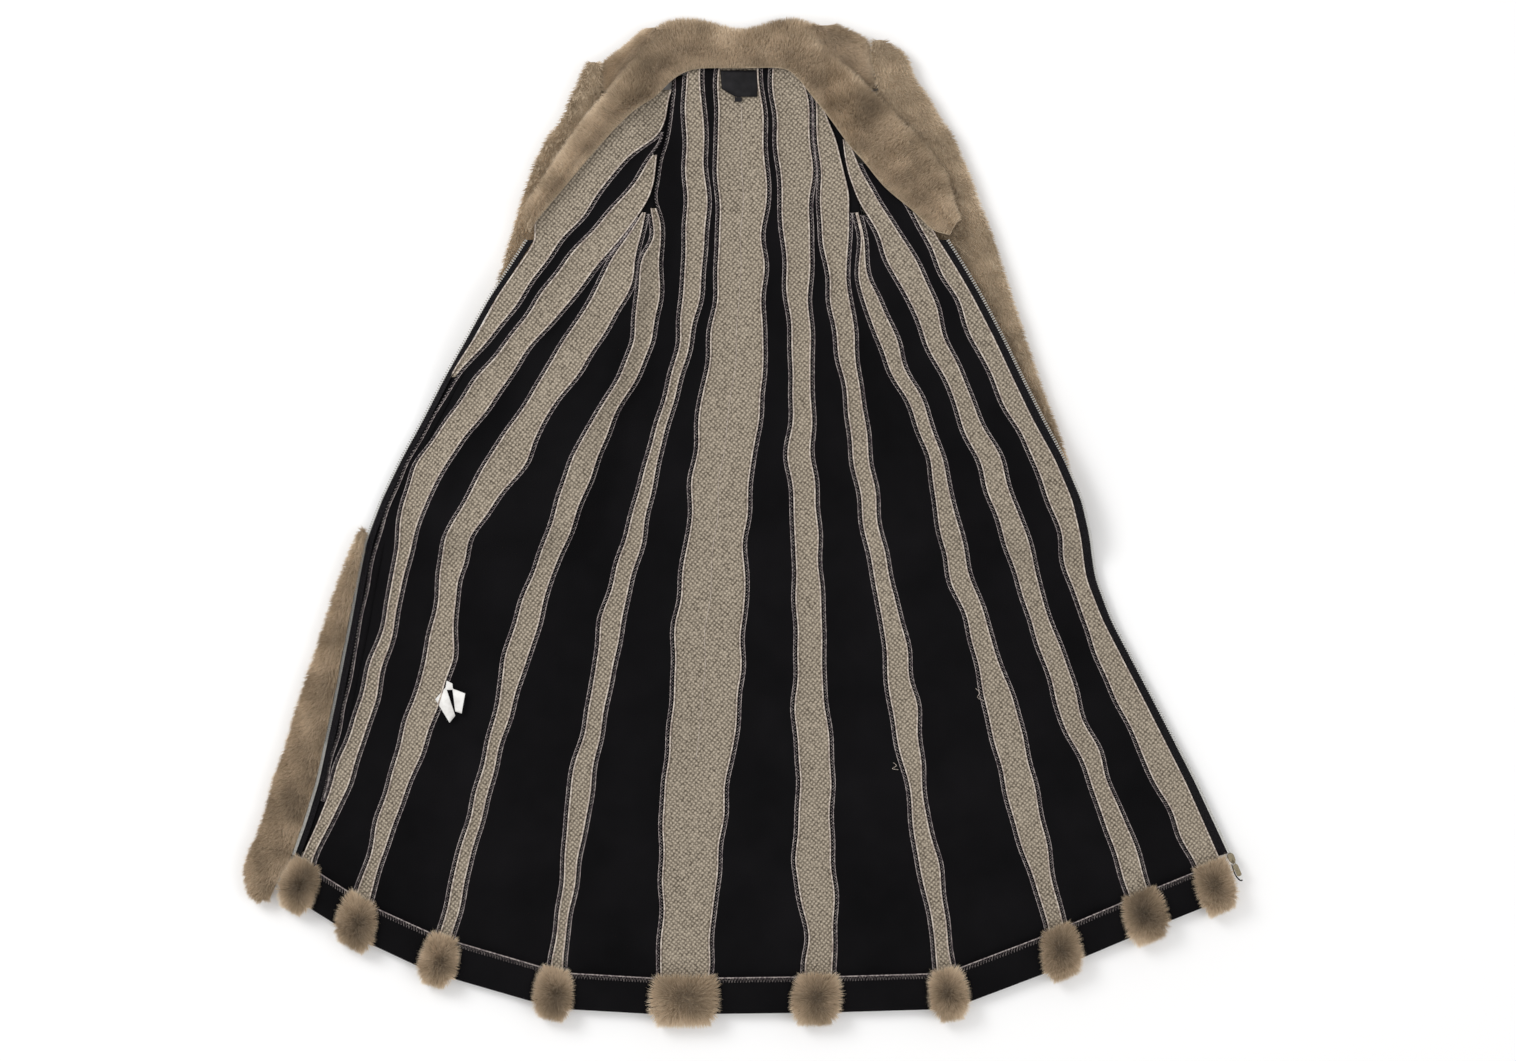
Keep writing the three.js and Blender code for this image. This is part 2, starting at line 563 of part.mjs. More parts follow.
function addSlider() {
  const { x, y, length, width, low, high } = SLIDER;
  const body = add('zip_slider', roundedPlate(length, width, high - low, 3), 'slider');
  body.position.set(x - Math.cos(ZIP_SLOPE) * length / 2, y - Math.sin(ZIP_SLOPE) * length / 2, low);
  body.rotation.z = ZIP_SLOPE;
  const tab = add('zip_pull_tab', roundedPlate(PULL.length, PULL.width, PULL.thickness, PULL.neck), 'slider');
  tab.position.set(x + Math.cos(ZIP_SLOPE) * (length / 2 - PULL.neck),
    y + Math.sin(ZIP_SLOPE) * (length / 2 - PULL.neck), PULL.low);
  tab.rotation.z = ZIP_SLOPE;
}

addBody();
add('collar', collar(), 'fur');
add('sleeve_left', sleeve(SLEEVES.left), 'fur');
add('sleeve_right', sleeve(SLEEVES.right), 'fur');
add('shoulder_left', slab(SHOULDERS.left, 22, 8), 'fur');
add('shoulder_right', slab(SHOULDERS.right, 22, 8), 'fur');
add('placket', slab(PLACKET, 24, 10), 'fur');
addZip();
addSlider();
add('neck_label', plate(LABEL, FUR + SEAM_GAP, TAG_THICKNESS), 'label');
add('size_tab', plate(SIZE_TAB, FUR + SEAM_GAP, TAG_THICKNESS), 'label');
add('care_tag', plate(CARE_TAG, FUR + SEAM_GAP, TAG_THICKNESS), 'tag');

// The origin is at the middle of the coat's underside
const box = new THREE.Box3().setFromObject(coat);
const middle = box.getCenter(new THREE.Vector3());
for (const mesh of coat.children) {
  mesh.position.x -= middle.x;
  mesh.position.y -= middle.y;
}

export default coat;
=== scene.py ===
import math

import bpy
import numpy as np
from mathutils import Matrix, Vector


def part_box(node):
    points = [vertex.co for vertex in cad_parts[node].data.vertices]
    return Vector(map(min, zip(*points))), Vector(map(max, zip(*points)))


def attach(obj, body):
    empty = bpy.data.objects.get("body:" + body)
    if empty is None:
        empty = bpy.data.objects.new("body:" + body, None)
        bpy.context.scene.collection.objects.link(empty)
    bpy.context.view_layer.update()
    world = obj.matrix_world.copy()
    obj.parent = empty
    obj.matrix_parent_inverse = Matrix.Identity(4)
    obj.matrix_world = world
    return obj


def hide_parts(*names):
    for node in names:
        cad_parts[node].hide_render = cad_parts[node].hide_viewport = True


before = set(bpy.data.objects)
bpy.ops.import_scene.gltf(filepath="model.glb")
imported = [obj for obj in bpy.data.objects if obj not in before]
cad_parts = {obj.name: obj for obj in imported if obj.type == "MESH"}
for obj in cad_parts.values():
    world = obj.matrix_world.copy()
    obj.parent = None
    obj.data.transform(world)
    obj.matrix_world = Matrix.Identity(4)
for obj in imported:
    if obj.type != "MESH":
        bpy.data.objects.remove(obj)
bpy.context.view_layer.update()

MM = 0.001
PHOTO_WIDTH = 1516
PHOTO_HEIGHT = 1061
MM_PER_PIXEL = 1.4
# The picture's place of the coat's own middle, in pixels from the left and the top
MIDDLE_ACROSS = 747.5
MIDDLE_DOWN = 528

# Sizes in millimetres, as in the solids
FUR = 12.0
JERSEY = 1.4
BACKING = 1.6
SEAM_GAP = 0.3
SLEEVE_HEIGHT = 25.0
LIFT = 26.0
APRON = 60.0
SHELF = 14.0
TURN_UP = 48.0
FOLD_RADIUS = 1.2
TUFT_SPREAD = 14.0
SAG_SHARE = 0.12
SAG_MOST = 7.0
LABEL_LEFT = -38.0
LABEL_TOP = 639.0

# The coat's own middle, measured from the neck label's place in the frame
label_low, label_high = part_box("neck_label")
SHIFT = np.array([label_low.x / MM - LABEL_LEFT, label_high.y / MM - LABEL_TOP, 0.0])

# Below WARP_FROM the levels are drawn together so that WARP_TO lies on the hem
WARP_FROM = -300.0
WARP_TO = -680.0
STEP = 7.0

HEM = [
    (-700, -478), (-615, -526), (-520, -591), (-374, -645), (-246, -675), (-153, -680), (17, -678),
    (255, -675), (324, -662), (423, -619), (544, -568), (689, -505), (740, -482),
]

# Footprints of the sleeves: height, left, right
SLEEVES = {
    "left": [
        (644, -227, -203), (627, -234, -202), (599, -248, -198), (571, -260, -186), (539, -283, -167),
        (511, -297, -153), (465, -314, -150), (405, -332, -167), (319, -356, -190), (263, -367, -206),
        (179, -383, -227), (67, -400, -257), (18, -409, -268)],
    "right": [
        (675, 172, 198), (655, 172, 223), (627, 177, 233), (599, 180, 253), (567, 174, 272),
        (542, 169, 289), (517, 164, 299), (482, 163, 314), (449, 166, 325), (407, 181, 342),
        (319, 211, 370), (207, 253, 407), (95, 293, 446), (11, 318, 454)],
}

# Shoulder parts and placket: height, left, right
SHOULDERS = {
    "left": [
        (694, -135, -125), (686, -146, -131.5), (669, -166, -145.5), (645, -196, -162.5),
        (625, -196, -177.5), (612, -194, -187)],
    "right": [
        (697, 90, 125), (683, 101, 158), (669, 110, 166), (634, 141, 168), (615, 161, 170)],
}
PLACKET = [
    (-10, -541, -535.5), (-73, -567, -547.3), (-129, -586, -557.3), (-185, -604, -568.3),
    (-241, -624, -579.3), (-300, -641, -591.3), (-353, -660, -603.3), (-409, -675, -620.3),
    (-465, -698, -640.5), (-490, -699, -655), (-508, -694, -664), (-518, -682, -668),
]

# Seam lines from the top end down: height, place across
SEAMS = {
    "tapeLeft": [
        (403, -294), (375, -312), (347, -330), (319, -349), (263, -380), (207, -413), (151, -443),
        (95, -474), (39, -501), (-17, -522), (-73, -533), (-129, -543), (-241, -565), (-353, -589),
        (-409, -606), (-465, -626), (-520, -645)],
    "strip0Left": [
        (615, -118), (584, -162), (553, -194), (517, -226), (472, -264), (440, -290), (415, -300),
        (403, -294), (375, -312), (347, -330), (319, -349), (263, -380), (207, -413)],
    "strip0Right": [
        (615, -106), (599, -111), (571, -113), (543, -128), (515, -163), (487, -191), (459, -212),
        (431, -232), (403, -258), (375, -276), (347, -296), (319, -315), (263, -359), (207, -407),
        (151, -443), (95, -474), (39, -501), (-17, -522), (-73, -533), (-129, -543), (-241, -565),
        (-353, -589), (-409, -606)],
    "strip1Left": [
        (560, -115), (535, -121), (515, -133), (487, -149), (459, -174), (431, -201), (403, -223),
        (375, -246), (347, -267), (319, -290), (263, -330), (207, -376), (151, -415), (95, -458),
        (39, -480), (-17, -488), (-73, -498), (-129, -506), (-185, -526), (-241, -540), (-353, -577),
        (-409, -600), (-465, -625), (-520, -644)],
    "strip1Right": [
        (520, -126), (487, -127), (459, -135), (431, -153), (403, -174), (375, -198), (347, -222),
        (319, -244), (263, -291), (207, -332), (151, -374), (95, -418), (39, -448), (-17, -467),
        (-73, -482), (-129, -493), (-185, -506), (-241, -520), (-353, -555), (-465, -608), (-520, -622)],
    "strip2Left": [
        (440, -144), (403, -167), (375, -187), (347, -202), (319, -216), (263, -251), (207, -286),
        (151, -321), (95, -358), (39, -391), (-17, -421), (-73, -428), (-129, -437), (-185, -450),
        (-241, -465), (-353, -500), (-465, -530), (-540, -556)],
    "strip2Right": [
        (440, -140), (403, -149), (375, -155), (347, -160), (319, -170), (263, -204), (207, -244),
        (151, -281), (95, -305), (39, -348), (-17, -386), (-73, -405), (-129, -409), (-185, -411),
        (-241, -430), (-353, -470), (-465, -513), (-540, -534)],
    "strip3Left": [
        (448, -134), (403, -130), (375, -146), (347, -153), (319, -156), (263, -155), (207, -177),
        (151, -212), (95, -246), (39, -262), (-17, -279), (-73, -300), (-129, -323), (-185, -341),
        (-241, -346), (-353, -372), (-465, -405), (-600, -440)],
    "strip3Right": [
        (600, -108), (571, -110), (539, -118), (515, -123), (487, -125), (459, -131), (446, -127),
        (431, -121), (403, -121), (319, -125), (263, -132), (207, -155), (151, -186), (95, -209),
        (39, -229), (-17, -253), (-73, -275), (-129, -290), (-185, -310), (-241, -327), (-353, -356),
        (-465, -387), (-600, -423)],
    "strip4Left": [
        (650, -82), (599, -89), (487, -86), (403, -85), (319, -89), (263, -94), (207, -110), (95, -142),
        (-17, -169), (-129, -204), (-241, -219), (-353, -244), (-465, -254), (-577, -269), (-680, -285)],
    "strip4Right": [
        (650, -66), (599, -65), (487, -58), (403, -59), (319, -66), (263, -79), (207, -97), (95, -127),
        (-17, -148), (-129, -174), (-241, -198), (-353, -216), (-465, -237), (-577, -253), (-680, -262)],
    "strip5Left": [
        (650, -41), (487, -41), (403, -40), (319, -44), (207, -58), (95, -71), (-17, -82), (-129, -101),
        (-241, -103), (-353, -114), (-465, -118), (-577, -120), (-680, -121)],
    "strip5Right": [
        (650, 16), (543, 23), (487, 26), (403, 23), (319, 22), (207, 22), (95, 5), (-17, -6),
        (-129, -5), (-241, -13), (-353, -30), (-465, -40), (-577, -52), (-680, -57)],
    "strip6Left": [
        (650, 35), (599, 36), (487, 44), (403, 52), (319, 58), (207, 64), (95, 60), (-17, 68),
        (-129, 68), (-241, 68), (-353, 72), (-465, 66), (-577, 85), (-680, 78)],
    "strip6Right": [
        (640, 66), (620, 80), (599, 84), (543, 90), (487, 90), (403, 86), (319, 85), (207, 89),
        (95, 89), (-17, 99), (-129, 103), (-241, 107), (-353, 117), (-465, 118), (-577, 120),
        (-680, 112)],
    "strip7Left": [
        (610, 93), (575, 97), (543, 100), (487, 104), (403, 103), (347, 113), (319, 115), (207, 135),
        (95, 149), (-17, 167), (-129, 187), (-241, 198), (-353, 222), (-465, 240), (-577, 261),
        (-680, 272)],
    "strip7Right": [
        (575, 112), (543, 124), (515, 132), (487, 137), (459, 143), (431, 141), (403, 139), (347, 139),
        (319, 144), (207, 155), (95, 173), (-17, 187), (-129, 212), (-241, 236), (-353, 243),
        (-465, 267), (-577, 281), (-680, 293)],
    "strip8Left": [
        (440, 150), (403, 156), (347, 157), (319, 164), (263, 180), (207, 206), (151, 234), (95, 254),
        (-17, 269), (-129, 304), (-241, 332), (-353, 358), (-465, 391), (-521, 410), (-640, 436)],
    "strip8Right": [
        (440, 154), (403, 160), (347, 170), (319, 183), (263, 206), (207, 227), (151, 252), (95, 271),
        (-17, 296), (-129, 330), (-241, 372), (-353, 400), (-465, 421), (-521, 433), (-640, 462)],
    "strip9Left": [
        (524, 136), (487, 142), (459, 152), (431, 169), (403, 184), (375, 194), (347, 207), (319, 222),
        (263, 247), (207, 274), (151, 298), (95, 320), (-17, 359), (-129, 398), (-241, 429),
        (-353, 480), (-465, 517), (-600, 560)],
    "strip9Right": [
        (524, 147), (487, 159), (459, 177), (431, 197), (403, 215), (375, 231), (347, 246), (319, 257),
        (263, 275), (207, 297), (151, 324), (95, 351), (-17, 388), (-129, 422), (-241, 461),
        (-353, 505), (-465, 548), (-600, 588)],
    "strip10Left": [
        (500, 180), (472, 203), (459, 218), (445, 228), (431, 236), (403, 246), (375, 258), (347, 274),
        (319, 292), (263, 313), (207, 342), (151, 367), (95, 397), (39, 418), (-17, 437), (-73, 451),
        (-129, 468), (-241, 516), (-353, 569), (-465, 622), (-520, 640)],
    "strip10Right": [
        (440, 246), (431, 250), (403, 263), (375, 281), (347, 298), (319, 314), (263, 343), (207, 369),
        (151, 396), (95, 427), (39, 451), (-17, 464), (-73, 474), (-129, 496), (-241, 554), (-353, 611),
        (-465, 661), (-520, 674)],
    "teethLeft": [
        (403, -305), (375, -323), (347, -341), (319, -360), (263, -391), (207, -424), (151, -454),
        (95, -485), (39, -512), (-17, -533), (-73, -544), (-129, -554), (-241, -576), (-353, -600),
        (-409, -617), (-465, -637)],
    "teethRight": [
        (403, 276), (375, 294), (347, 311), (319, 327), (263, 356), (207, 383), (151, 411), (95, 441),
        (39, 465), (-17, 478), (-73, 488), (-129, 509), (-241, 568), (-353, 626), (-465, 678)],
}

# Fur strips: node, left seam, right seam, top height, foot height or None for the hem
STRIPS = [
    ("fur_strip_zip_left", "strip0Left", "strip0Right", 612, 210),
    ("fur_strip_front_left_outer", "strip1Left", "strip1Right", 518, None),
    ("fur_strip_front_left_inner", "strip2Left", "strip2Right", 438, None),
    ("fur_strip_side_left", "strip3Left", "strip3Right", 444, None),
    ("fur_strip_back_left", "strip4Left", "strip4Right", 645, None),
    ("fur_strip_back_centre", "strip5Left", "strip5Right", 650, None),
    ("fur_strip_back_right", "strip6Left", "strip6Right", 648, None),
    ("fur_strip_side_right", "strip7Left", "strip7Right", 604, None),
    ("fur_strip_front_right_inner", "strip8Left", "strip8Right", 438, None),
    ("fur_strip_front_right_outer", "strip9Left", "strip9Right", 540, None),
    ("fur_strip_zip_right", "strip10Left", "strip10Right", 438, None),
]
PANELS = [
    ("jersey_zip_left", "strip0Right", "strip1Left", 552, -430),
    ("jersey_front_left_outer", "strip1Right", "strip2Left", 431, None),
    ("jersey_front_left_inner", "strip2Right", "strip3Left", 436, None),
    ("jersey_side_left", "strip3Right", "strip4Left", 632, None),
    ("jersey_back_left", "strip4Right", "strip5Left", 648, None),
    ("jersey_back_right", "strip5Right", "strip6Left", 655, None),
    ("jersey_side_right", "strip6Right", "strip7Left", 606, None),
    ("jersey_front_right_inner", "strip7Right", "strip8Left", 438, None),
    ("jersey_front_right_middle", "strip8Right", "strip9Left", 434, None),
    ("jersey_front_right_outer", "strip9Right", "strip10Left", 506, None),
]
ZIP_TOP = 400
ZIP_FOOT = -575

# The collar band: seam edge and free edge
COLLAR = [
    (-302, 409, -308, 426), (-289, 430, -303, 446), (-254, 472, -275, 490), (-216, 517, -246, 535),
    (-184, 553, -220, 570), (-152, 584, -195, 599), (-128, 602, -167, 636), (-103, 626, -142, 672),
    (-83, 637, -117, 701), (-60, 641, -72, 706), (-10, 641, -10, 692), (46, 641, 48, 706),
    (68, 629, 85, 701), (90, 602, 115, 661), (113, 573, 143, 631), (141, 531, 180, 594),
    (162, 507, 209, 563), (191, 472, 240, 532), (229, 440, 269, 493), (256, 414, 280, 461),
    (280, 406, 291, 426),
]


def smoothstep(t):
    t = np.clip(t, 0.0, 1.0)
    return t * t * (3 - 2 * t)


def look_up(rows, at, column=1):
    """Straight interpolation of a falling table, continued past its ends."""
    table = np.array(rows, float)[::-1]
    at = np.asarray(at, float)
    keys, values = table[:, 0], table[:, column]
    inside = np.interp(at, keys, values)
    low = (values[1] - values[0]) / (keys[1] - keys[0])
    high = (values[-1] - values[-2]) / (keys[-1] - keys[-2])
    inside = np.where(at < keys[0], values[0] + low * (at - keys[0]), inside)
    return np.where(at > keys[-1], values[-1] + high * (at - keys[-1]), inside)


def lift(x, y):
    """How far the sleeves beneath raise what lies at a place."""
    most = np.zeros(np.broadcast(x, y).shape)
    for rows in SLEEVES.values():
        inside = np.clip(y, rows[-1][0], rows[0][0])
        left, right = look_up(rows, inside, 1), look_up(rows, inside, 2)
        over = np.maximum(np.maximum(left - x, x - right), 0)
        away = np.hypot(over, y - inside) - SHELF
        most = np.maximum(most, LIFT * (1 - smoothstep(away / APRON)))
    return most


def from_picture(across, down):
    """A place in the photograph, in millimetres from the coat's own middle."""
    return (across - MIDDLE_ACROSS) * MM_PER_PIXEL, (MIDDLE_DOWN - down) * MM_PER_PIXEL


def between(first, last, share):
    """Rows of points from each first point to each last point."""
    return first[:, None] * (1 - share)[None, :, None] + last[:, None] * share[None, :, None]


def wave_field(seed, longest, shortest, count=14):
    """A smooth field made of plane waves: returns its value and slope at places."""
    rng = np.random.default_rng(seed)
    angle = rng.uniform(0, 2 * math.pi, count)
    length = rng.uniform(shortest, longest, count)
    phase = rng.uniform(0, 2 * math.pi, count)
    kx, ky = np.cos(angle) * 2 * math.pi / length, np.sin(angle) * 2 * math.pi / length
    size = math.sqrt(2.0 / count)

    def field(x, y):
        turn = np.multiply.outer(x, kx) + np.multiply.outer(y, ky) + phase
        slope = np.cos(turn) * size
        return np.sin(turn).sum(-1) * size, (slope * kx).sum(-1), (slope * ky).sum(-1)

    return field


# Levels of the seams from the top down, how far their corners are rounded, and their small waver
TOP_LEVEL = 660.0
LEVELS = np.arange(TOP_LEVEL, WARP_TO - 0.1, -STEP * 0.5)
SEAM_ROUNDING = 18
SEAM_WAVER = 1.5


def smooth_seam(rows):
    """A seam's points at every level, with the corners of its table rounded."""
    dense = look_up(rows, LEVELS)
    reach = int(SEAM_ROUNDING / (STEP * 0.5))
    weights = np.hanning(2 * reach + 3)[1:-1]
    weights /= weights.sum()
    padded = np.concatenate([dense[0] + (dense[0] - dense[reach:0:-1]), dense,
                             dense[-1] + (dense[-1] - dense[-2:-reach - 2:-1])])
    rounded = np.convolve(padded, weights, "valid")
    hem = np.array(HEM, float)
    x, y = rounded.copy(), LEVELS.copy()
    low = LEVELS < WARP_FROM
    for _ in range(6):
        foot = np.interp(x, hem[:, 0], hem[:, 1])
        warped = WARP_FROM + (LEVELS - WARP_FROM) * (WARP_FROM - foot) / (WARP_FROM - WARP_TO)
        y = np.where(low, warped, LEVELS)
        x = np.interp(-y, -LEVELS, rounded)
    return np.stack([x, y], 1)


SEAM_POINTS = {name: smooth_seam(rows) for name, rows in SEAMS.items()}
waver = wave_field(9, 130, 44)
for name, points in SEAM_POINTS.items():
    if name.startswith("strip") and name != "strip10Right":
        points[:, 0] += SEAM_WAVER * waver(points[:, 0], points[:, 1])[0]


def seam_at(name, levels):
    points, falling = SEAM_POINTS[name], -np.asarray(levels, float)
    return np.stack([np.interp(falling, -LEVELS, points[:, k]) for k in (0, 1)], 1)


def piece_levels(top, foot):
    foot = WARP_TO if foot is None else foot
    count = int((top - foot) / STEP) + 1
    return np.linspace(top, foot, count)


def unit(v):
    return v / np.maximum(np.linalg.norm(v, axis=-1, keepdims=True), 1e-9)


def moved(a, b, inset):
    """Two edges moved towards each other."""
    side = unit(b - a) * np.asarray(inset, float)[..., None]
    return a + side, b - side


small_waves = wave_field(3, 90, 35)
long_waves = wave_field(4, 260, 120)

# Creases: start x, y, end x, y, width and height, a trough where it is below zero
CREASES = [
    (-250, 330, -120, 380, 16, -3.0), (-300, 250, -170, 300, 18, -2.5),
    (-330, 120, -240, 190, 22, 3.0), (-300, 60, -210, 20, 20, -3.2),
    (-470, -120, -330, -60, 26, 2.6), (-430, -260, -300, -230, 24, -2.4),
    (-60, 430, 10, 380, 14, -1.2), (-90, 300, -20, 250, 18, 1.2),
    (30, 330, 80, 250, 16, -1.6), (-180, -60, -90, -150, 24, -2.2),
    (110, -60, 170, -200, 22, -2.6), (200, 260, 290, 180, 18, -2.8),
    (230, 120, 330, 60, 20, 2.8), (260, -60, 380, -40, 26, 2.4),
    (330, -260, 470, -230, 24, -2.6), (20, -380, 70, -520, 22, -1.8),
    (-350, -420, -280, -540, 26, 2.2), (140, -420, 210, -560, 26, 2.4),
    (430, -380, 520, -430, 22, -2.2), (-560, -330, -480, -420, 20, 1.8),
]


def creases(x, y):
    total = np.zeros(np.broadcast(x, y).shape)
    for x0, y0, x1, y1, width, height in CREASES:
        dx, dy = x1 - x0, y1 - y0
        t = np.clip(((x - x0) * dx + (y - y0) * dy) / (dx * dx + dy * dy), 0, 1)
        away = np.hypot(x - x0 - t * dx, y - y0 - t * dy)
        ends = np.sin(math.pi * np.clip(t, 0.04, 0.96))
        total = total + height * ends * np.exp(-(away / width) ** 2)
    return total


# How far above the fold the hem's changes begin, and the rows round the fold and along the turn-up
RAMP = 60
TURNS = 9
APRON_ROWS = 7


def body_grids(left, right, top, foot, columns, thickness, sag, spread, inset, wrinkle):
    """Upper and lower grids of a body piece, round the hem fold and back over it."""
    levels = piece_levels(top, foot)
    a, b = seam_at(left, levels), seam_at(right, levels)
    to_hem = foot is None
    is_fur = thickness == FUR
    ramp = smoothstep((WARP_TO + RAMP - levels) / RAMP) if to_hem else np.zeros(len(levels))
    ra, rb = moved(a, b, SEAM_GAP / 2 + inset * ramp)
    la, lb = moved(ra, rb, -spread * ramp)
    share = np.linspace(0, 1, columns)
    upper_xy, lower_xy = between(ra, rb, share), between(la, lb, share)
    wide = np.linalg.norm(rb - ra, axis=1)
    depth = np.minimum(SAG_MOST, wide * sag) * (1 - ramp)
    bow = np.sin(math.pi * share)[None, :]
    x, y = upper_xy[..., 0], upper_xy[..., 1]
    height = lift(x, y) + FUR - depth[:, None] * bow
    rough = small_waves(x, y)[0] * 0.5 + long_waves(x, y)[0] * 0.9
    height = height + (rough + creases(x, y)) * wrinkle * bow * (1 - ramp)[:, None]
    upper = np.dstack([upper_xy, height])
    under = height - thickness
    if is_fur:
        under = np.maximum(under, lift(x, y))
    lower = np.dstack([lower_xy, under])
    body_rows = len(levels)
    if to_hem:
        ways = [unit(p[-1] - p[-12]) for p in (a, b)]
        ends = (a[-1], b[-1])
        centre = FUR + FOLD_RADIUS
        rows_up, rows_low = [], []

        def place(high, reach, wide_by):
            p, q = ends[0] + ways[0] * reach, ends[1] + ways[1] * reach
            p, q = moved(p[None], q[None], np.array([SEAM_GAP / 2 + inset - wide_by]))
            return np.column_stack([between(p, q, share)[0], np.full(columns, high)])

        outer = FOLD_RADIUS + thickness
        for k in range(1, TURNS + 1):
            angle = math.pi * k / TURNS
            up, out = -math.cos(angle), math.sin(angle)
            rows_up.append(place(centre + FOLD_RADIUS * up, FOLD_RADIUS * out, 0))
            narrower = spread * (1 - 0.75 * out) if is_fur else spread
            rows_low.append(place(centre + outer * up, outer * out, narrower))
        for k in range(1, APRON_ROWS + 1):
            back = k / APRON_ROWS
            full = math.sqrt(max(0.1, 1 - ((back - 0.36) / 0.7) ** 2)) if is_fur else 1.0
            rows_up.append(place(centre + FOLD_RADIUS, -TURN_UP * back, 0))
            outside = place(centre + FOLD_RADIUS, -TURN_UP * back, spread * full)
            round_off = 1 - 0.7 * np.abs(2 * share - 1) ** 3 if is_fur else 1.0
            outside[:, 2] += thickness * full * round_off
            rows_low.append(outside)
        upper = np.concatenate([upper, np.stack(rows_up)])
        lower = np.concatenate([lower, np.stack(rows_low)])
    return upper, lower, body_rows


def to_world(points):
    return (np.asarray(points, float).reshape(-1, 3) + SHIFT) * MM


def grid_faces(rows, columns, offset=0, flip=False, closed=False):
    last = columns if closed else columns - 1
    i, j = np.meshgrid(np.arange(rows - 1), np.arange(last), indexing="ij")
    nxt = (j + 1) % columns
    a, b = i * columns + j, i * columns + nxt
    c, d = (i + 1) * columns + nxt, (i + 1) * columns + j
    quads = np.stack([a, b, c, d] if flip else [a, d, c, b], -1).reshape(-1, 4)
    return quads + offset


def new_mesh(name, points, faces, material, smooth=True):
    """A mesh object from points in millimetres and faces of one size."""
    mesh = bpy.data.meshes.new(name)
    faces = np.asarray(faces, np.int32)
    count, size = faces.shape
    world = to_world(points).astype(np.float32)
    mesh.vertices.add(len(world))
    mesh.vertices.foreach_set("co", world.ravel())
    mesh.loops.add(count * size)
    mesh.loops.foreach_set("vertex_index", faces.ravel())
    mesh.polygons.add(count)
    mesh.polygons.foreach_set("loop_start", np.arange(0, count * size, size, dtype=np.int32))
    mesh.polygons.foreach_set("use_smooth", np.full(count, smooth))
    mesh.update(calc_edges=True)
    mesh.validate()
    piece = bpy.data.objects.new(name, mesh)
    bpy.context.scene.collection.objects.link(piece)
    mesh.materials.append(material)
    return piece


def wall_mesh(name, upper, lower, material):
    """A closed wall between two grids."""
    rows, columns, _ = upper.shape
    points = np.concatenate([upper.reshape(-1, 3), lower.reshape(-1, 3)])
    base = rows * columns
    top = grid_faces(rows, columns)
    bottom = grid_faces(rows, columns, base, flip=True)
    r = np.arange(rows - 1) * columns
    left = np.stack([r, base + r, base + r + columns, r + columns], -1)
    e = r + columns - 1
    right = np.stack([e, e + columns, base + e + columns, base + e], -1)
    c = np.arange(columns - 1)
    first = np.stack([c, c + 1, base + c + 1, base + c], -1)
    f = (rows - 1) * columns + c
    last = np.stack([f, base + f, base + f + 1, f + 1], -1)
    faces = np.concatenate([top, bottom, left, right, first, last])
    return new_mesh(name, points, faces, material)


def node(tree, kind, **values):
    made = tree.nodes.new(kind)
    for key, value in values.items():
        if hasattr(made, key):
            setattr(made, key, value)
        else:
            made.inputs[key.replace("_", " ")].default_value = value
    return made


def new_material(name, roughness, sheen=0.0, metallic=0.0, sheen_tint=(1, 1, 1, 1), specular=0.5):
    material = bpy.data.materials.new(name)
    material.use_nodes = True
    shader = material.node_tree.nodes["Principled BSDF"]
    for key, value in (("Roughness", roughness), ("Metallic", metallic), ("Sheen Weight", sheen),
                       ("Sheen Roughness", 0.5), ("Sheen Tint", sheen_tint),
                       ("Specular IOR Level", specular)):
        shader.inputs[key].default_value = value
    return material, material.node_tree, shader


def coloured(tree, shader, value, stops):
    """Base colour from a value, through a ramp with stops of place and colour."""
    ramp = tree.nodes.new("ShaderNodeValToRGB")
    elements = ramp.color_ramp.elements
    while len(elements) < len(stops):
        elements.new(0.5)
    for element, (place, colour) in zip(elements, stops):
        element.position = place
        element.color = (*colour, 1)
    tree.links.new(value, ramp.inputs["Fac"])
    tree.links.new(ramp.outputs["Color"], shader.inputs["Base Color"])


def object_coordinates(tree):
    return node(tree, "ShaderNodeTexCoord").outputs["Object"]


def noise(tree, coordinates, scale, detail, rough):
    made = node(tree, "ShaderNodeTexNoise", Scale=scale, Detail=detail, Roughness=rough)
    tree.links.new(coordinates, made.inputs["Vector"])
    return made.outputs["Fac"]


def mixed(tree, first, second, share):
    made = node(tree, "ShaderNodeMix", data_type="FLOAT")
    made.inputs[0].default_value = share
    tree.links.new(first, made.inputs[2])
    tree.links.new(second, made.inputs[3])
    return made.outputs[0]


def add_bump(tree, shader, heights, distance):
    """Bump from a list of (socket, strength), one after another."""
    before = None
    for socket, strength in heights:
        bump = node(tree, "ShaderNodeBump", Strength=strength, Distance=distance)
        tree.links.new(socket, bump.inputs["Height"])
        if before:
            tree.links.new(before, bump.inputs["Normal"])
        before = bump.outputs["Normal"]
    tree.links.new(before, shader.inputs["Normal"])


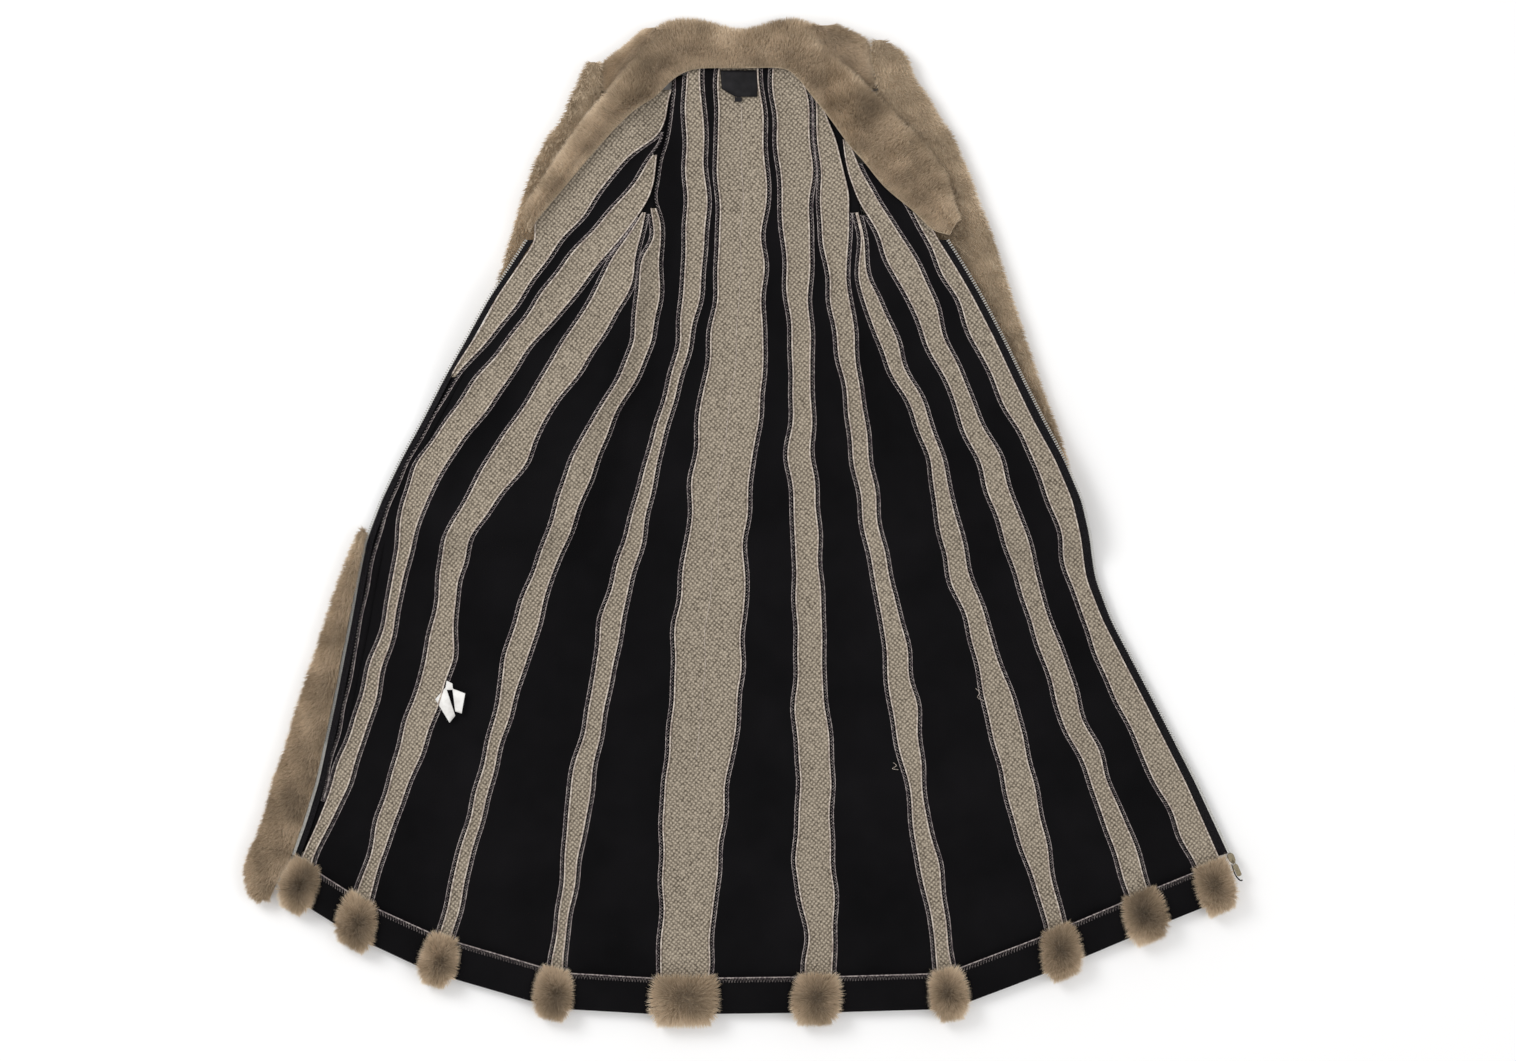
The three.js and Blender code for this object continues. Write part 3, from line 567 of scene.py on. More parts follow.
def weave_height(tree, coordinates, thread, turn):
    """Two crossed sets of fine ribs: the width of one thread in metres, and their turn."""
    mapping = node(tree, "ShaderNodeMapping")
    mapping.inputs["Rotation"].default_value = (0, 0, turn)
    tree.links.new(coordinates, mapping.inputs["Vector"])
    # The wave texture repeats 20 times in 2 pi at a scale of 1
    scale = 1 / thread / 20 * math.pi
    ribs = []
    for direction in ("X", "Y"):
        wave = node(tree, "ShaderNodeTexWave", wave_type="BANDS", bands_direction=direction,
                    Scale=scale, Distortion=1.5, Detail=1.0, Detail_Scale=2.0)
        tree.links.new(mapping.outputs["Vector"], wave.inputs["Vector"])
        ribs.append(wave.outputs["Fac"])
    both = node(tree, "ShaderNodeMath", operation="MULTIPLY")
    for k in (0, 1):
        tree.links.new(ribs[k], both.inputs[k])
    return both.outputs["Value"]


def make_backing():
    material, tree, shader = new_material("knit_backing", 0.92, 0.12, sheen_tint=(0.9, 0.82, 0.7, 1))
    place = object_coordinates(tree)
    fine = noise(tree, place, 290.0, 1.0, 0.5)
    weave = weave_height(tree, place, 0.0023, math.radians(38))
    speckled = mixed(tree, noise(tree, place, 9.0, 3.0, 0.6), fine, 0.86)
    coloured(tree, shader, mixed(tree, speckled, weave, 0.38),
             [(0.21, (0.080, 0.062, 0.043)), (0.65, (0.478, 0.408, 0.318))])
    add_bump(tree, shader, [(weave, 0.3), (fine, 0.4)], 0.001)
    return material


def make_pile():
    """Strands: colour follows each strand's tone from its dark root to its pale tip."""
    material, tree, shader = new_material("fur_pile", 0.62, 0.25, sheen_tint=(1.0, 0.9, 0.78, 1),
                                          specular=0.25)
    tone = node(tree, "ShaderNodeAttribute", attribute_name="tone").outputs["Fac"]
    coloured(tree, shader, tone, [(0.0, (0.165, 0.118, 0.074)), (0.35, (0.370, 0.280, 0.184)),
                                  (0.65, (0.620, 0.490, 0.345)), (1.0, (0.900, 0.770, 0.600))])
    return material


def make_pelt():
    """The dense underfur that shows between the strands."""
    material, tree, shader = new_material("fur_underlayer", 0.95, 0.3, sheen_tint=(0.9, 0.8, 0.65, 1))
    place = object_coordinates(tree)
    mapping = node(tree, "ShaderNodeMapping")
    mapping.inputs["Scale"].default_value = (900, 160, 400)
    tree.links.new(place, mapping.inputs["Vector"])
    broad = noise(tree, place, 38.0, 3.0, 0.6)
    hair = noise(tree, mapping.outputs["Vector"], 1.0, 2.0, 0.6)
    coloured(tree, shader, mixed(tree, broad, hair, 0.5),
             [(0.3, (0.245, 0.180, 0.117)), (0.55, (0.440, 0.345, 0.238)), (0.75, (0.640, 0.530, 0.390))])
    add_bump(tree, shader, [(broad, 0.8), (hair, 0.7)], 0.004)
    return material


def make_cloth(name, roughness, sheen, speck, stops, weave=None, fine=0.0, depth=0.0, **look):
    """Cloth or thread: a noise coloured by stops, a weave (thread, turn, strength) and a fine bump."""
    material, tree, shader = new_material(name, roughness, sheen, **look)
    place = object_coordinates(tree)
    coloured(tree, shader, noise(tree, place, *speck), stops)
    heights = []
    if weave:
        heights.append((weave_height(tree, place, *weave[:2]), weave[2]))
    if fine:
        heights.append((noise(tree, place, 700.0, 2.0, 0.6), fine))
    if heights:
        add_bump(tree, shader, heights, depth)
    return material


def make_metal(name, colour, roughness, scuff):
    material, tree, shader = new_material(name, roughness, 0.0, 1.0)
    worn = noise(tree, object_coordinates(tree), 600.0, 3.0, 0.6)
    coloured(tree, shader, worn, [(0.35, tuple(c * scuff for c in colour)), (0.65, colour)])
    rough = node(tree, "ShaderNodeMapRange", To_Min=roughness * 0.7, To_Max=min(1.0, roughness * 1.5))
    tree.links.new(worn, rough.inputs["Value"])
    tree.links.new(rough.outputs["Result"], shader.inputs["Roughness"])
    add_bump(tree, shader, [(worn, 0.15)], 0.0004)
    return material


BACKING_KNIT = make_backing()
BLACK_JERSEY = make_cloth("black_jersey", 0.9, 0.03, (7.0, 3.0, 0.6),
                          [(0.3, (0.0028, 0.0027, 0.0031)), (0.7, (0.0060, 0.0056, 0.0064))],
                          (0.0011, 0.0, 0.25), 0.3, 0.0008, sheen_tint=(0.55, 0.5, 0.6, 1), specular=0.06)
PILE = make_pile()
PELT = make_pelt()
CORD = make_cloth("seam_cord_thread", 0.75, 0.2, (320.0, 1.0, 0.5),
                  [(0.38, (0.30, 0.235, 0.20)), (0.62, (0.66, 0.58, 0.50))])
OVERLOCK = make_cloth("overlock_thread", 0.75, 0.2, (300.0, 1.0, 0.5),
                      [(0.38, (0.120, 0.092, 0.100)), (0.62, (0.44, 0.385, 0.365))])
ZIP_TAPE = make_cloth("zip_tape_weave", 0.85, 0.02, (500.0, 2.0, 0.6),
                      [(0.35, (0.0030, 0.0028, 0.0034)), (0.7, (0.014, 0.0125, 0.015))],
                      (0.0014, math.radians(20), 0.6), depth=0.0012, specular=0.12)
TEETH_METAL = make_metal("zip_teeth_metal", (0.66, 0.65, 0.62), 0.34, 0.6)
BRASS = make_metal("antique_brass", (0.34, 0.29, 0.20), 0.4, 0.5)
LABEL_CLOTH = make_cloth("label_satin", 0.5, 0.02, (60.0, 3.0, 0.6),
                         [(0.35, (0.006, 0.0055, 0.0065)), (0.65, (0.014, 0.013, 0.015))],
                         (0.0007, 0.0, 0.3), depth=0.0004, specular=0.15)
TAG_CLOTH = make_cloth("care_tag_satin", 0.6, 0.02, (60.0, 3.0, 0.6),
                       [(0.35, (0.66, 0.64, 0.62)), (0.65, (0.86, 0.85, 0.83))],
                       (0.0007, 0.0, 0.3), depth=0.0004, specular=0.15)


def dressed(piece, slot_name, *nodes, body="coat"):
    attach(piece, body)
    if nodes:
        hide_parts(*nodes)


def scatter(grid, count, rng, weight=None):
    """Seeded places on a grid: point, outward normal, and the ways down and across the grid."""
    a, b = grid[:-1, :-1], grid[:-1, 1:]
    c, d = grid[1:, :-1], grid[1:, 1:]
    normal = np.cross(c - a + d - b, b - a + d - c)
    chance = np.linalg.norm(normal, axis=2)
    if weight is not None:
        chance = chance * weight
    chance = chance.ravel() / chance.sum()
    i, j = np.divmod(rng.choice(chance.size, count, p=chance), grid.shape[1] - 1)
    u, v = rng.random((count, 1)), rng.random((count, 1))
    point = (a[i, j] * (1 - u) + c[i, j] * u) * (1 - v) + (b[i, j] * (1 - u) + d[i, j] * u) * v
    down = unit(c[i, j] - a[i, j] + d[i, j] - b[i, j])
    sideways = unit(b[i, j] - a[i, j] + d[i, j] - c[i, j])
    return point, unit(normal[i, j]), down, sideways


# Waves of the pile, in mm: longest, shortest and how many, for tufts and for broad areas of painted sheen
TUFTS = (95, 22, 26)
SHEEN_PATCHES = (240, 70, 10)
TUFT_PULL = 0.96
ROOT_DEPTH = 0.8
TONE_OF_ROOT = 0.36
TONE_OF_TIP = 0.72
# Length and width of a strand in mm
STRIP_PILE = (13.0, 1.3)
HEM_PILE = (12.5, 1.0)
BAND_PILE = (9.5, 1.15)
SLEEVE_PILE = (8.0, 1.15)


def strand_mesh(name, point, normal, flow, size, seed, low=0.3, lean=0.75, shade=0.0):
    """Closed three-sided spikes that lean along the flow, their tips gathered in tufts."""
    length, width = size
    rng = np.random.default_rng(seed)
    count = len(point)
    value, dx, dy = wave_field(seed + 50, *TUFTS)(point[:, 0], point[:, 1])
    sheen_patches = wave_field(seed + 70, *SHEEN_PATCHES)(point[:, 0], point[:, 1])[0]
    gather = np.stack([dx, dy, np.zeros(count)], 1) * TUFT_PULL
    loose = rng.normal(0, 0.2, (count, 3))
    way = unit(flow * lean + normal * rng.uniform(0.7, 1.1, (count, 1)) + gather + loose)
    tip = point + way * length * rng.uniform(0.7, 1.15, (count, 1))
    root = point - normal * ROOT_DEPTH
    for end in (tip, root):
        end[:, 2] = np.maximum(end[:, 2], low)
    way = unit(tip - root)
    side = unit(np.cross(way, normal))
    up = np.cross(side, way)
    half = width / 2 * rng.uniform(0.75, 1.25, (count, 1))
    ring = [root + half * (math.cos(t) * side + math.sin(t) * up)
            for t in (math.radians(210), math.radians(330), math.radians(90))]
    points = np.stack([*ring, tip], 1).reshape(-1, 3)
    points[:, 2] = np.maximum(points[:, 2], 0.1)
    base = np.arange(count)[:, None] * 4
    faces = np.concatenate([base + np.array(f) for f in
                            ((0, 2, 1), (0, 1, 3), (1, 2, 3), (2, 0, 3))])
    piece = new_mesh(name, points, faces, PILE, smooth=False)
    strand = rng.normal(0, 0.11, count)
    # Painted highlight, sheen and shade: the tone rises on the tufts' tops and falls between them, broad
    # waves add painted sheen, and shade adds any painted shade passed in
    painted_sheen_and_shade = 0.09 * value + 0.08 * sheen_patches
    tone = np.empty((count, 4), np.float32)
    tone[:, :3] = (TONE_OF_ROOT + 0.7 * painted_sheen_and_shade + 0.5 * strand + shade)[:, None]
    tone[:, 3] = TONE_OF_TIP + painted_sheen_and_shade + strand + shade
    attribute = piece.data.attributes.new("tone", "FLOAT", "POINT")
    attribute.data.foreach_set("value", np.clip(tone, 0, 1).ravel())
    return piece


def on_grid(grid, row_at, share):
    """Points on a grid at fractional rows and at shares across."""
    rows, columns, _ = grid.shape
    row_at = np.clip(row_at, 0, rows - 1.0001)
    column_at = np.clip(np.asarray(share) * (columns - 1), 0, columns - 1.0001)
    i, j = row_at.astype(int), column_at.astype(int)
    u, v = (row_at - i)[:, None], (column_at - j)[:, None]
    top = grid[i, j] * (1 - v) + grid[i, j + 1] * v
    bottom = grid[i + 1, j] * (1 - v) + grid[i + 1, j + 1] * v
    return top * (1 - u) + bottom * u


def tube(path, radius, sides=3):
    """A closed tube along an open path: points and triangles."""
    path = np.asarray(path, float)
    way = unit(np.gradient(path, axis=0))
    side = unit(np.cross(way, np.array([0, 0, 1.0])))
    up = np.cross(side, way)
    angles = [2 * math.pi * (k + 0.25) / sides for k in range(sides)]
    rings = np.stack([path + radius * (math.cos(t) * side + math.sin(t) * up) for t in angles], 1)
    count = len(path)
    i, k = np.meshgrid(np.arange(count - 1), np.arange(sides), indexing="ij")
    n = (k + 1) % sides
    a, b = i * sides + k, i * sides + n
    c, d = (i + 1) * sides + n, (i + 1) * sides + k
    faces = [np.stack([a, b, c], -1).reshape(-1, 3), np.stack([a, c, d], -1).reshape(-1, 3)]
    last = (count - 1) * sides
    for k in range(1, sides - 1):
        faces.append(np.array([[0, k + 1, k], [last, last + k, last + k + 1]]))
    return rings.reshape(-1, 3), np.concatenate(faces)


def joined(parts):
    """Several (points, triangles) as one."""
    points, faces, offset = [], [], 0
    for p, f in parts:
        points.append(p)
        faces.append(f + offset)
        offset += len(p)
    return np.concatenate(points), np.concatenate(faces)


SLIDER_AT = np.array([675.7, -461.2])
ZIP_WAY = unit(np.array([51.0, -112.0]))
ZIP_SIDE = np.array([-ZIP_WAY[1], ZIP_WAY[0]])
SLIDER_ROOM = 11.0


def beside_slider(point):
    """True where a place is too near the slider and its pull tab for pile to stand."""
    away = point[:, :2] - SLIDER_AT
    along = np.clip(away @ ZIP_WAY, -6, 30)
    return np.linalg.norm(away - along[:, None] * ZIP_WAY, axis=1) < SLIDER_ROOM


def hem_tuft(name, over, rng, seed):
    """The pile of a strip's turn-up: it leans away from the middle, where painted shade makes it darkest,
    and a painted highlight lightens its rim.
    """
    point, normal, _, _ = scatter(over, 4600, rng)
    clear = ~beside_slider(point)
    point, normal = point[clear], normal[clear]
    along = unit(over[-1, -1, :2] - over[-1, 0, :2])
    ways = np.array([along, [-along[1], along[0]]])
    spans = over[..., :2].reshape(-1, 2) @ ways.T
    middle, reach = (spans.max(0) + spans.min(0)) / 2, (spans.max(0) - spans.min(0)) / 2
    away = (point[:, :2] @ ways.T - middle) / reach
    outward = np.column_stack([away @ ways, np.zeros(len(away))])
    # Painted shade and highlight: the tone is lowered in the tuft's middle and raised towards its rim
    shade = (np.linalg.norm(away, axis=1) - 0.66) * 0.42
    return strand_mesh(name, point, -normal, outward * 1.3, HEM_PILE, seed,
                       low=1.0, lean=1.0, shade=shade)


# The knit-backed fur strips of the body
STRIP_COLUMNS = 15
LAST_SPREAD = 6.0
# Depths of the backing and of the underfur, as shares of the strip's whole
BACKING_SHARE = BACKING / FUR
PELT_SHARE = 0.80
strip_grids = {}
for number, (name, left, right, top, foot) in enumerate(STRIPS):
    spread = LAST_SPREAD if name == "fur_strip_zip_right" else TUFT_SPREAD
    upper, lower, body_rows = body_grids(left, right, top, foot, STRIP_COLUMNS, FUR,
                                         SAG_SHARE * 0.45, spread, 0.0, 0.8)
    strip_grids[name] = (upper, body_rows)
    shell = wall_mesh(name + "_backing", upper, upper + (lower - upper) * BACKING_SHARE, BACKING_KNIT)
    pelt_low = upper + (lower - upper) * PELT_SHARE
    pelt = wall_mesh(name + "_underfur", upper + (lower - upper) * (BACKING_SHARE * 1.05), pelt_low, PELT)
    dressed(shell, "fur", name)
    rng = np.random.default_rng(100 + number)
    point, normal, down, _ = scatter(pelt_low[:body_rows], 2600, rng)
    parts = [pelt, strand_mesh(name + "_pile", point, -normal, down, STRIP_PILE, 200 + number)]
    if foot is None:
        parts.append(hem_tuft(name + "_hem_pile", pelt_low[body_rows + 2:], rng, 300 + number))
    for piece in parts:
        dressed(piece, "fur", name)

# The black jersey panels
PANEL_COLUMNS = 13
HEM_INSET = 2.0
panel_grids = {}
for name, left, right, top, foot in PANELS:
    inset = HEM_INSET if foot is None else 0.0
    upper, lower, body_rows = body_grids(left, right, top, foot, PANEL_COLUMNS, JERSEY,
                                         SAG_SHARE, 0.0, inset, 1.0)
    panel_grids[name] = (upper, lower, body_rows)
    panel = wall_mesh(name + "_cloth", upper, lower, BLACK_JERSEY)
    dressed(panel, "jersey", name)


# How far below the strips' upper side the jersey in the narrow gaps lies
UNDER_CLOTH_DROP = 3.5


def under_cloth(name, seam, top, foot, out_left, out_right):
    """Jersey that shows between the tops of the pieces, just below them."""
    middle = seam_at(seam, np.linspace(top, foot, 40))
    share = np.linspace(0, 1, 5)
    x = middle[:, :1] + (out_left * (1 - share) + out_right * share)[None]
    y = np.repeat(middle[:, 1:], 5, 1)
    upper = np.dstack([x, y, lift(x, y) + FUR - UNDER_CLOTH_DROP])
    piece = wall_mesh(name, upper, upper - np.array([0, 0, 1.0]), BLACK_JERSEY)
    dressed(piece, "jersey")


under_cloth("armhole_jersey_left", "strip3Right", 612, 425, -24, 6)
under_cloth("zip_edge_jersey_left", "tapeLeft", 235, -560, -3, 15)
under_cloth("armhole_jersey_right", "strip7Right", 585, 425, -4, 16)

# Seams: a pale cord on the fur's edge, a chain line and zigzag stitches on the jersey
# How far in from the edge, in mm
CORD_IN = 0.9
CHAIN_IN = 5.2
ZIGZAG_IN = (1.4, 5.0)
CORD_RADIUS = 1.25
CHAIN_RADIUS = 0.55
ZIGZAG_RADIUS = 0.42
HEM_CHAIN_RADIUS = 0.9
HEM_ZIGZAG_RADIUS = 0.5


def widths(grid):
    return np.linalg.norm(grid[:, -1] - grid[:, 0], axis=1)


def raised(path, rise):
    path[:, 2] += rise
    return path


def beside_edge(grid, row_at, inward, side):
    """A path down a grid, so many millimetres in from its left or right edge."""
    wide = np.interp(row_at, np.arange(len(grid)), widths(grid))
    share = np.clip(inward / wide, 0, 0.45)
    return on_grid(grid, row_at, 1 - share if side else share)


cords, chains, stitches = [], [], []
for name, *_, foot in STRIPS:
    upper, body_rows = strip_grids[name]
    row_at = np.arange(0, body_rows + 5 if foot is None else body_rows - 1, 0.5)
    for side in (0, 1):
        beads = 0.25 * np.sin(row_at * 5.1) + 0.2 * np.sin(row_at * 2.3 + side)
        path = beside_edge(upper, row_at, CORD_IN, side)
        cords.append(tube(raised(path, 0.9 + 0.2 * beads), CORD_RADIUS))
for name, *_, foot in PANELS:
    upper, lower, body_rows = panel_grids[name]
    row_at = np.arange(0, body_rows - 1, 0.5)
    fine = np.arange(0, body_rows - 1, 0.32)
    zigzag_in = np.where(np.arange(len(fine)) % 2 == 0, *ZIGZAG_IN)
    for side in (0, 1):
        chain = raised(beside_edge(upper, row_at, CHAIN_IN, side), 0.35)
        chains.append(tube(chain, CHAIN_RADIUS))
        zigzag = raised(beside_edge(upper, fine, zigzag_in, side), 0.45)
        stitches.append(tube(zigzag, ZIGZAG_RADIUS))
    if foot is None:
        chains.append(tube(raised(lower[-1].copy(), 0.3), HEM_CHAIN_RADIUS))
        count = 4 * int(widths(upper)[body_rows - 1] / 9) + 9
        last_row = np.full(count, len(lower) - 1.0)
        last_row[1::2] -= 0.95
        zigzag = raised(on_grid(lower, last_row, np.linspace(0, 1, count)), 0.35)
        stitches.append(tube(zigzag, HEM_ZIGZAG_RADIUS))
for name, paths, thread in (("seam_cords", cords, CORD), ("seam_chain_lines", chains, OVERLOCK),
                            ("seam_overlock_stitches", stitches, OVERLOCK)):
    dressed(new_mesh(name, *joined(paths), thread), "jersey")

# The raised centre line of the back strip
row_at = np.arange(3, 140, 1.0)
centre_line = on_grid(strip_grids["fur_strip_back_centre"][0], row_at,
                      np.interp(row_at, [3, 140], [0.52, 0.44]))
dressed(new_mesh("centre_back_thread", *tube(raised(centre_line, 0.15), 0.45), CORD), "fur")


# Collar: section as share across and height
COLLAR_SECTION = [(0, 19.5), (0.08, 22), (0.25, 25), (0.5, 27), (0.8, 23), (0.93, 18), (1, 11)]
# Its lower face, which steps over the seam: how far out from the seam, and height there
COLLAR_STEP = ((16, 32), (17, 2))
COLLAR_STRANDS = 48000


def smooth_rows(table, steps):
    """A table's points on a rounded curve, with several steps between rows."""
    table = np.array(table, float)
    padded = np.concatenate([[2 * table[0] - table[1]], table, [2 * table[-1] - table[-2]]])
    out = []
    for k in range(1, len(padded) - 2):
        p0, p1, p2, p3 = padded[k - 1:k + 3]
        for t in np.arange(steps) / steps:
            out.append(0.5 * (2 * p1 + (p2 - p0) * t + (2 * p0 - 5 * p1 + 4 * p2 - p3) * t * t
                              + (3 * p1 - p0 - 3 * p2 + p3) * t ** 3))
    out.append(padded[-2])
    return np.array(out)


def collar_grids():
    rows = smooth_rows(COLLAR, 6)
    shares = np.linspace(0, 1, 13)
    section = np.array(COLLAR_SECTION)
    high = np.interp(shares, section[:, 0], section[:, 1])
    seam, free = rows[:, :2], rows[:, 2:]
    wide = np.linalg.norm(free - seam, axis=1)[:, None]
    xy = between(seam, free, shares)
    base = lift(xy[..., 0], xy[..., 1])
    low = np.interp(shares[None] * wide, *COLLAR_STEP)
    lumps = small_waves(xy[..., 0], xy[..., 1])[0]
    tall = np.maximum(high[None] - 5.0 + lumps * 0.9, low + 2)
    return np.dstack([xy, base + tall]), np.dstack([xy, base + low])


collar_upper, collar_lower = collar_grids()
collar = wall_mesh("collar_underfur", collar_upper, collar_lower, PELT)
dressed(collar, "fur", "collar")
rng = np.random.default_rng(11)
point, normal, down, sideways = scatter(collar_upper, COLLAR_STRANDS, rng)
flow = unit(sideways + down * 0.15)
dressed(strand_mesh("collar_pile", point, normal, flow, BAND_PILE, 12), "fur")


def signed_root(value):
    return np.sign(value) * np.sqrt(np.abs(value))


def rounded_top(rows, rise):
    """The rows with a narrower one above the first, so that the top is round."""
    height, left, right = rows[0]
    middle, quarter = (left + right) / 2, (right - left) / 4
    return [(height + rise, middle - quarter, middle + quarter), *rows]


SLEEVE_RING = 28
SLEEVE_STRANDS = 36000


def sleeve_piece(name, rows, seed):
    """An open, flattened tube with a hollow, and pile on its upper side."""
    table = smooth_rows(rounded_top(rows, 5), 4)
    ring = SLEEVE_RING
    angle = 2 * math.pi * (np.arange(ring) + 0.5) / ring
    across = signed_root(np.cos(angle))
    above = signed_root(np.sin(angle))
    middle = (table[:, 1] + table[:, 2]) / 2
    half = (table[:, 2] - table[:, 1]) / 2
    inner_half = half - np.minimum(FUR, half * 2 / 3)
    grids = []
    for half_width, half_height, spare in ((half, SLEEVE_HEIGHT / 2, 2.5), (inner_half, 1.0, 0.0)):
        x = middle[:, None] + (half_width - spare)[:, None] * across[None]
        y = np.repeat(table[:, :1], ring, 1)
        z = SLEEVE_HEIGHT / 2 + (half_height - spare) * above[None] + np.zeros_like(x)
        grids.append(np.dstack([x, y, z]))
    outer, inner = grids
    base = len(table) * ring
    first = np.arange(ring)
    nxt = (first + 1) % ring
    last = (len(table) - 1) * ring
    mouth = np.stack([first, nxt, base + nxt, base + first], -1)
    cuff = np.stack([last + first, base + last + first, base + last + nxt, last + nxt], -1)
    faces = np.concatenate([grid_faces(len(table), ring, flip=True, closed=True),
                            grid_faces(len(table), ring, base, closed=True), mouth, cuff])
    points = np.concatenate([outer.reshape(-1, 3), inner.reshape(-1, 3)])
    tube_piece = new_mesh(name + "_underfur", points, faces, PELT)
    dressed(tube_piece, "fur", name)
    rng = np.random.default_rng(seed)
    skin = np.concatenate([outer, outer[:, :1]], 1)[:, ::-1]
    level = skin[:-1, :-1, 2]
    weight = np.where(level > SLEEVE_HEIGHT * 0.4, 1.0, 0.12)
    point, normal, down, _ = scatter(skin, SLEEVE_STRANDS, rng, weight)
    outward = np.where(normal[:, 2] * (point[:, 2] - SLEEVE_HEIGHT / 2) < 0, -1.0, 1.0)[:, None]
    return strand_mesh(name + "_pile", point, normal * outward, down, SLEEVE_PILE, seed + 1)


def slab_piece(name, left_right, height, edge, seed, count, flow_way, grow):
    """A raised band of pile between two edges."""
    table = smooth_rows(rounded_top(left_right, 4), 6) + np.array([0, -grow, grow])
    shares = np.linspace(0, 1, 9)
    bulge = np.sin(math.pi * (0.12 + 0.76 * shares)) ** 0.6
    tall = edge + (height - edge) * bulge - 4.0
    x = table[:, 1:2] * (1 - shares)[None] + table[:, 2:3] * shares[None]
    y = np.repeat(table[:, :1], len(shares), 1)
    upper = np.dstack([x, y, np.broadcast_to(np.maximum(tall, 3.0), x.shape)])
    lower = np.dstack([x, y, np.zeros_like(x) + 0.2])
    band = wall_mesh(name + "_underfur", upper, lower, PELT)
    dressed(band, "fur", name)
    rng = np.random.default_rng(seed)
    point, normal, down, sideways = scatter(upper, count, rng)
    flow = unit(down * flow_way[0] + sideways * flow_way[1])
    return strand_mesh(name + "_pile", point, normal, flow, BAND_PILE, seed + 1)


for side, name, seed in (("left", "sleeve_left", 21), ("right", "sleeve_right", 31)):
    dressed(sleeve_piece(name, SLEEVES[side], seed), "fur")
for name, rows, height, edge, seed, count, flow_way, grow in (
        ("shoulder_left", SHOULDERS["left"], 22, 8, 41, 8500, (0.8, -0.6), 3.5),
        ("shoulder_right", SHOULDERS["right"], 22, 8, 43, 8500, (0.8, 0.6), 3.5),
        ("placket", PLACKET, 24, 10, 45, 24000, (0.8, -0.6), 0.0)):
    dressed(slab_piece(name, rows, height, edge, seed, count, flow_way, grow), "fur")

# The zip: tapes, teeth, slider and pull tab
TAPE_ROWS = 160
TAPE_HIGH = 11.2
TEETH_HIGH = 11.5
TEETH_PACE = 3.1
TOOTH_SIZE = (1.7, 1.7, 2.7)
STEM_SIZE = (1.2, 4.2, 1.6)
END_PIN_HIGH = 11.4


def seam_line(name, top, foot, pace):
    levels = np.arange(top, foot, -pace)
    points = seam_at(name, levels)
    way = unit(np.gradient(points, axis=0))
    return points, way, np.column_stack([-way[:, 1], way[:, 0]])


def tape(name, teeth, seam, sign):
    levels = np.linspace(ZIP_TOP, ZIP_FOOT, TAPE_ROWS)
    inner, outer = seam_at(teeth, levels), seam_at(seam, levels)
    inner = inner + unit(outer - inner) * 1.2
    outer = outer - unit(outer - inner) * 0.3
    pair = (inner, outer) if sign > 0 else (outer, inner)
    share = np.linspace(0, 1, 7)
    xy = between(*pair, share)
    ripple = 0.25 * np.sin(np.arange(TAPE_ROWS) * 0.9)[:, None] * np.sin(math.pi * share)[None]
    high = lift(xy[..., 0], xy[..., 1]) + TAPE_HIGH + ripple
    upper = np.dstack([xy, high + 0.5])
    piece = wall_mesh(name + "_weave", upper, np.dstack([xy, high - 0.5]), ZIP_TAPE)
    dressed(piece, "zip_tape", name)


tape("zip_tape_left", "teethLeft", "tapeLeft", 1)
tape("zip_tape_right", "teethRight", "strip10Right", -1)

BOX_CORNERS = np.array([(x, y, z) for x in (-0.5, 0.5) for y in (-0.5, 0.5) for z in (-0.5, 0.5)])
BOX_SIDES = np.array([(0, 1, 3, 2), (4, 6, 7, 5), (0, 4, 5, 1), (2, 3, 7, 6), (0, 2, 6, 4), (1, 5, 7, 3)])


def boxes(centres, along, across, size):
    """Small blocks, each turned to its own direction: their corners and faces."""
    along3 = np.column_stack([along, np.zeros(len(along))])
    across3 = np.column_stack([across, np.zeros(len(across))])
    points = (centres[:, None] + BOX_CORNERS[None, :, :1] * size[0] * along3[:, None]
              + BOX_CORNERS[None, :, 1:2] * size[1] * across3[:, None]
              + BOX_CORNERS[None, :, 2:] * size[2] * np.array([0, 0, 1.0]))
    faces = (np.arange(len(centres))[:, None, None] * 8 + BOX_SIDES[None]).reshape(-1, 4)
    return points.reshape(-1, 3), faces


def teeth_row(name, seam):
    points, way, across = seam_line(seam, ZIP_TOP - 1, ZIP_FOOT, TEETH_PACE)
    high = lift(points[:, 0], points[:, 1]) + TEETH_HIGH
    parts = []
    for offset in (-1.1, 1.1):
        centre = np.column_stack([points + across * offset, high])
        parts.append(boxes(centre, way, across, TOOTH_SIZE))
    parts.append(boxes(np.column_stack([points, high - 0.4]), way, across, STEM_SIZE))
    piece = new_mesh(name + "_elements", *joined(parts), TEETH_METAL, smooth=False)
    dressed(piece, "zip_teeth", name)


teeth_row("zip_teeth_left", "teethLeft")
teeth_row("zip_teeth_right", "teethRight")

# The insertion pin at the foot of the left row
pin_points = seam_line("teethLeft", ZIP_FOOT + 14, ZIP_FOOT - 2, 2)[0]
pin_high = lift(pin_points[:, 0], pin_points[:, 1]) + END_PIN_HIGH
pin = new_mesh("zip_insertion_pin", *tube(np.column_stack([pin_points, pin_high]), 1.5, 8), TEETH_METAL)
dressed(pin, "zip_teeth")


def by_slider(places, high):
    """Places given along and across the zip from the slider, at a height."""
    places = np.array(places, float)
    xy = SLIDER_AT + places[:, :1] * ZIP_WAY + places[:, 1:] * ZIP_SIDE
    return np.column_stack([xy, np.broadcast_to(high, len(places))])


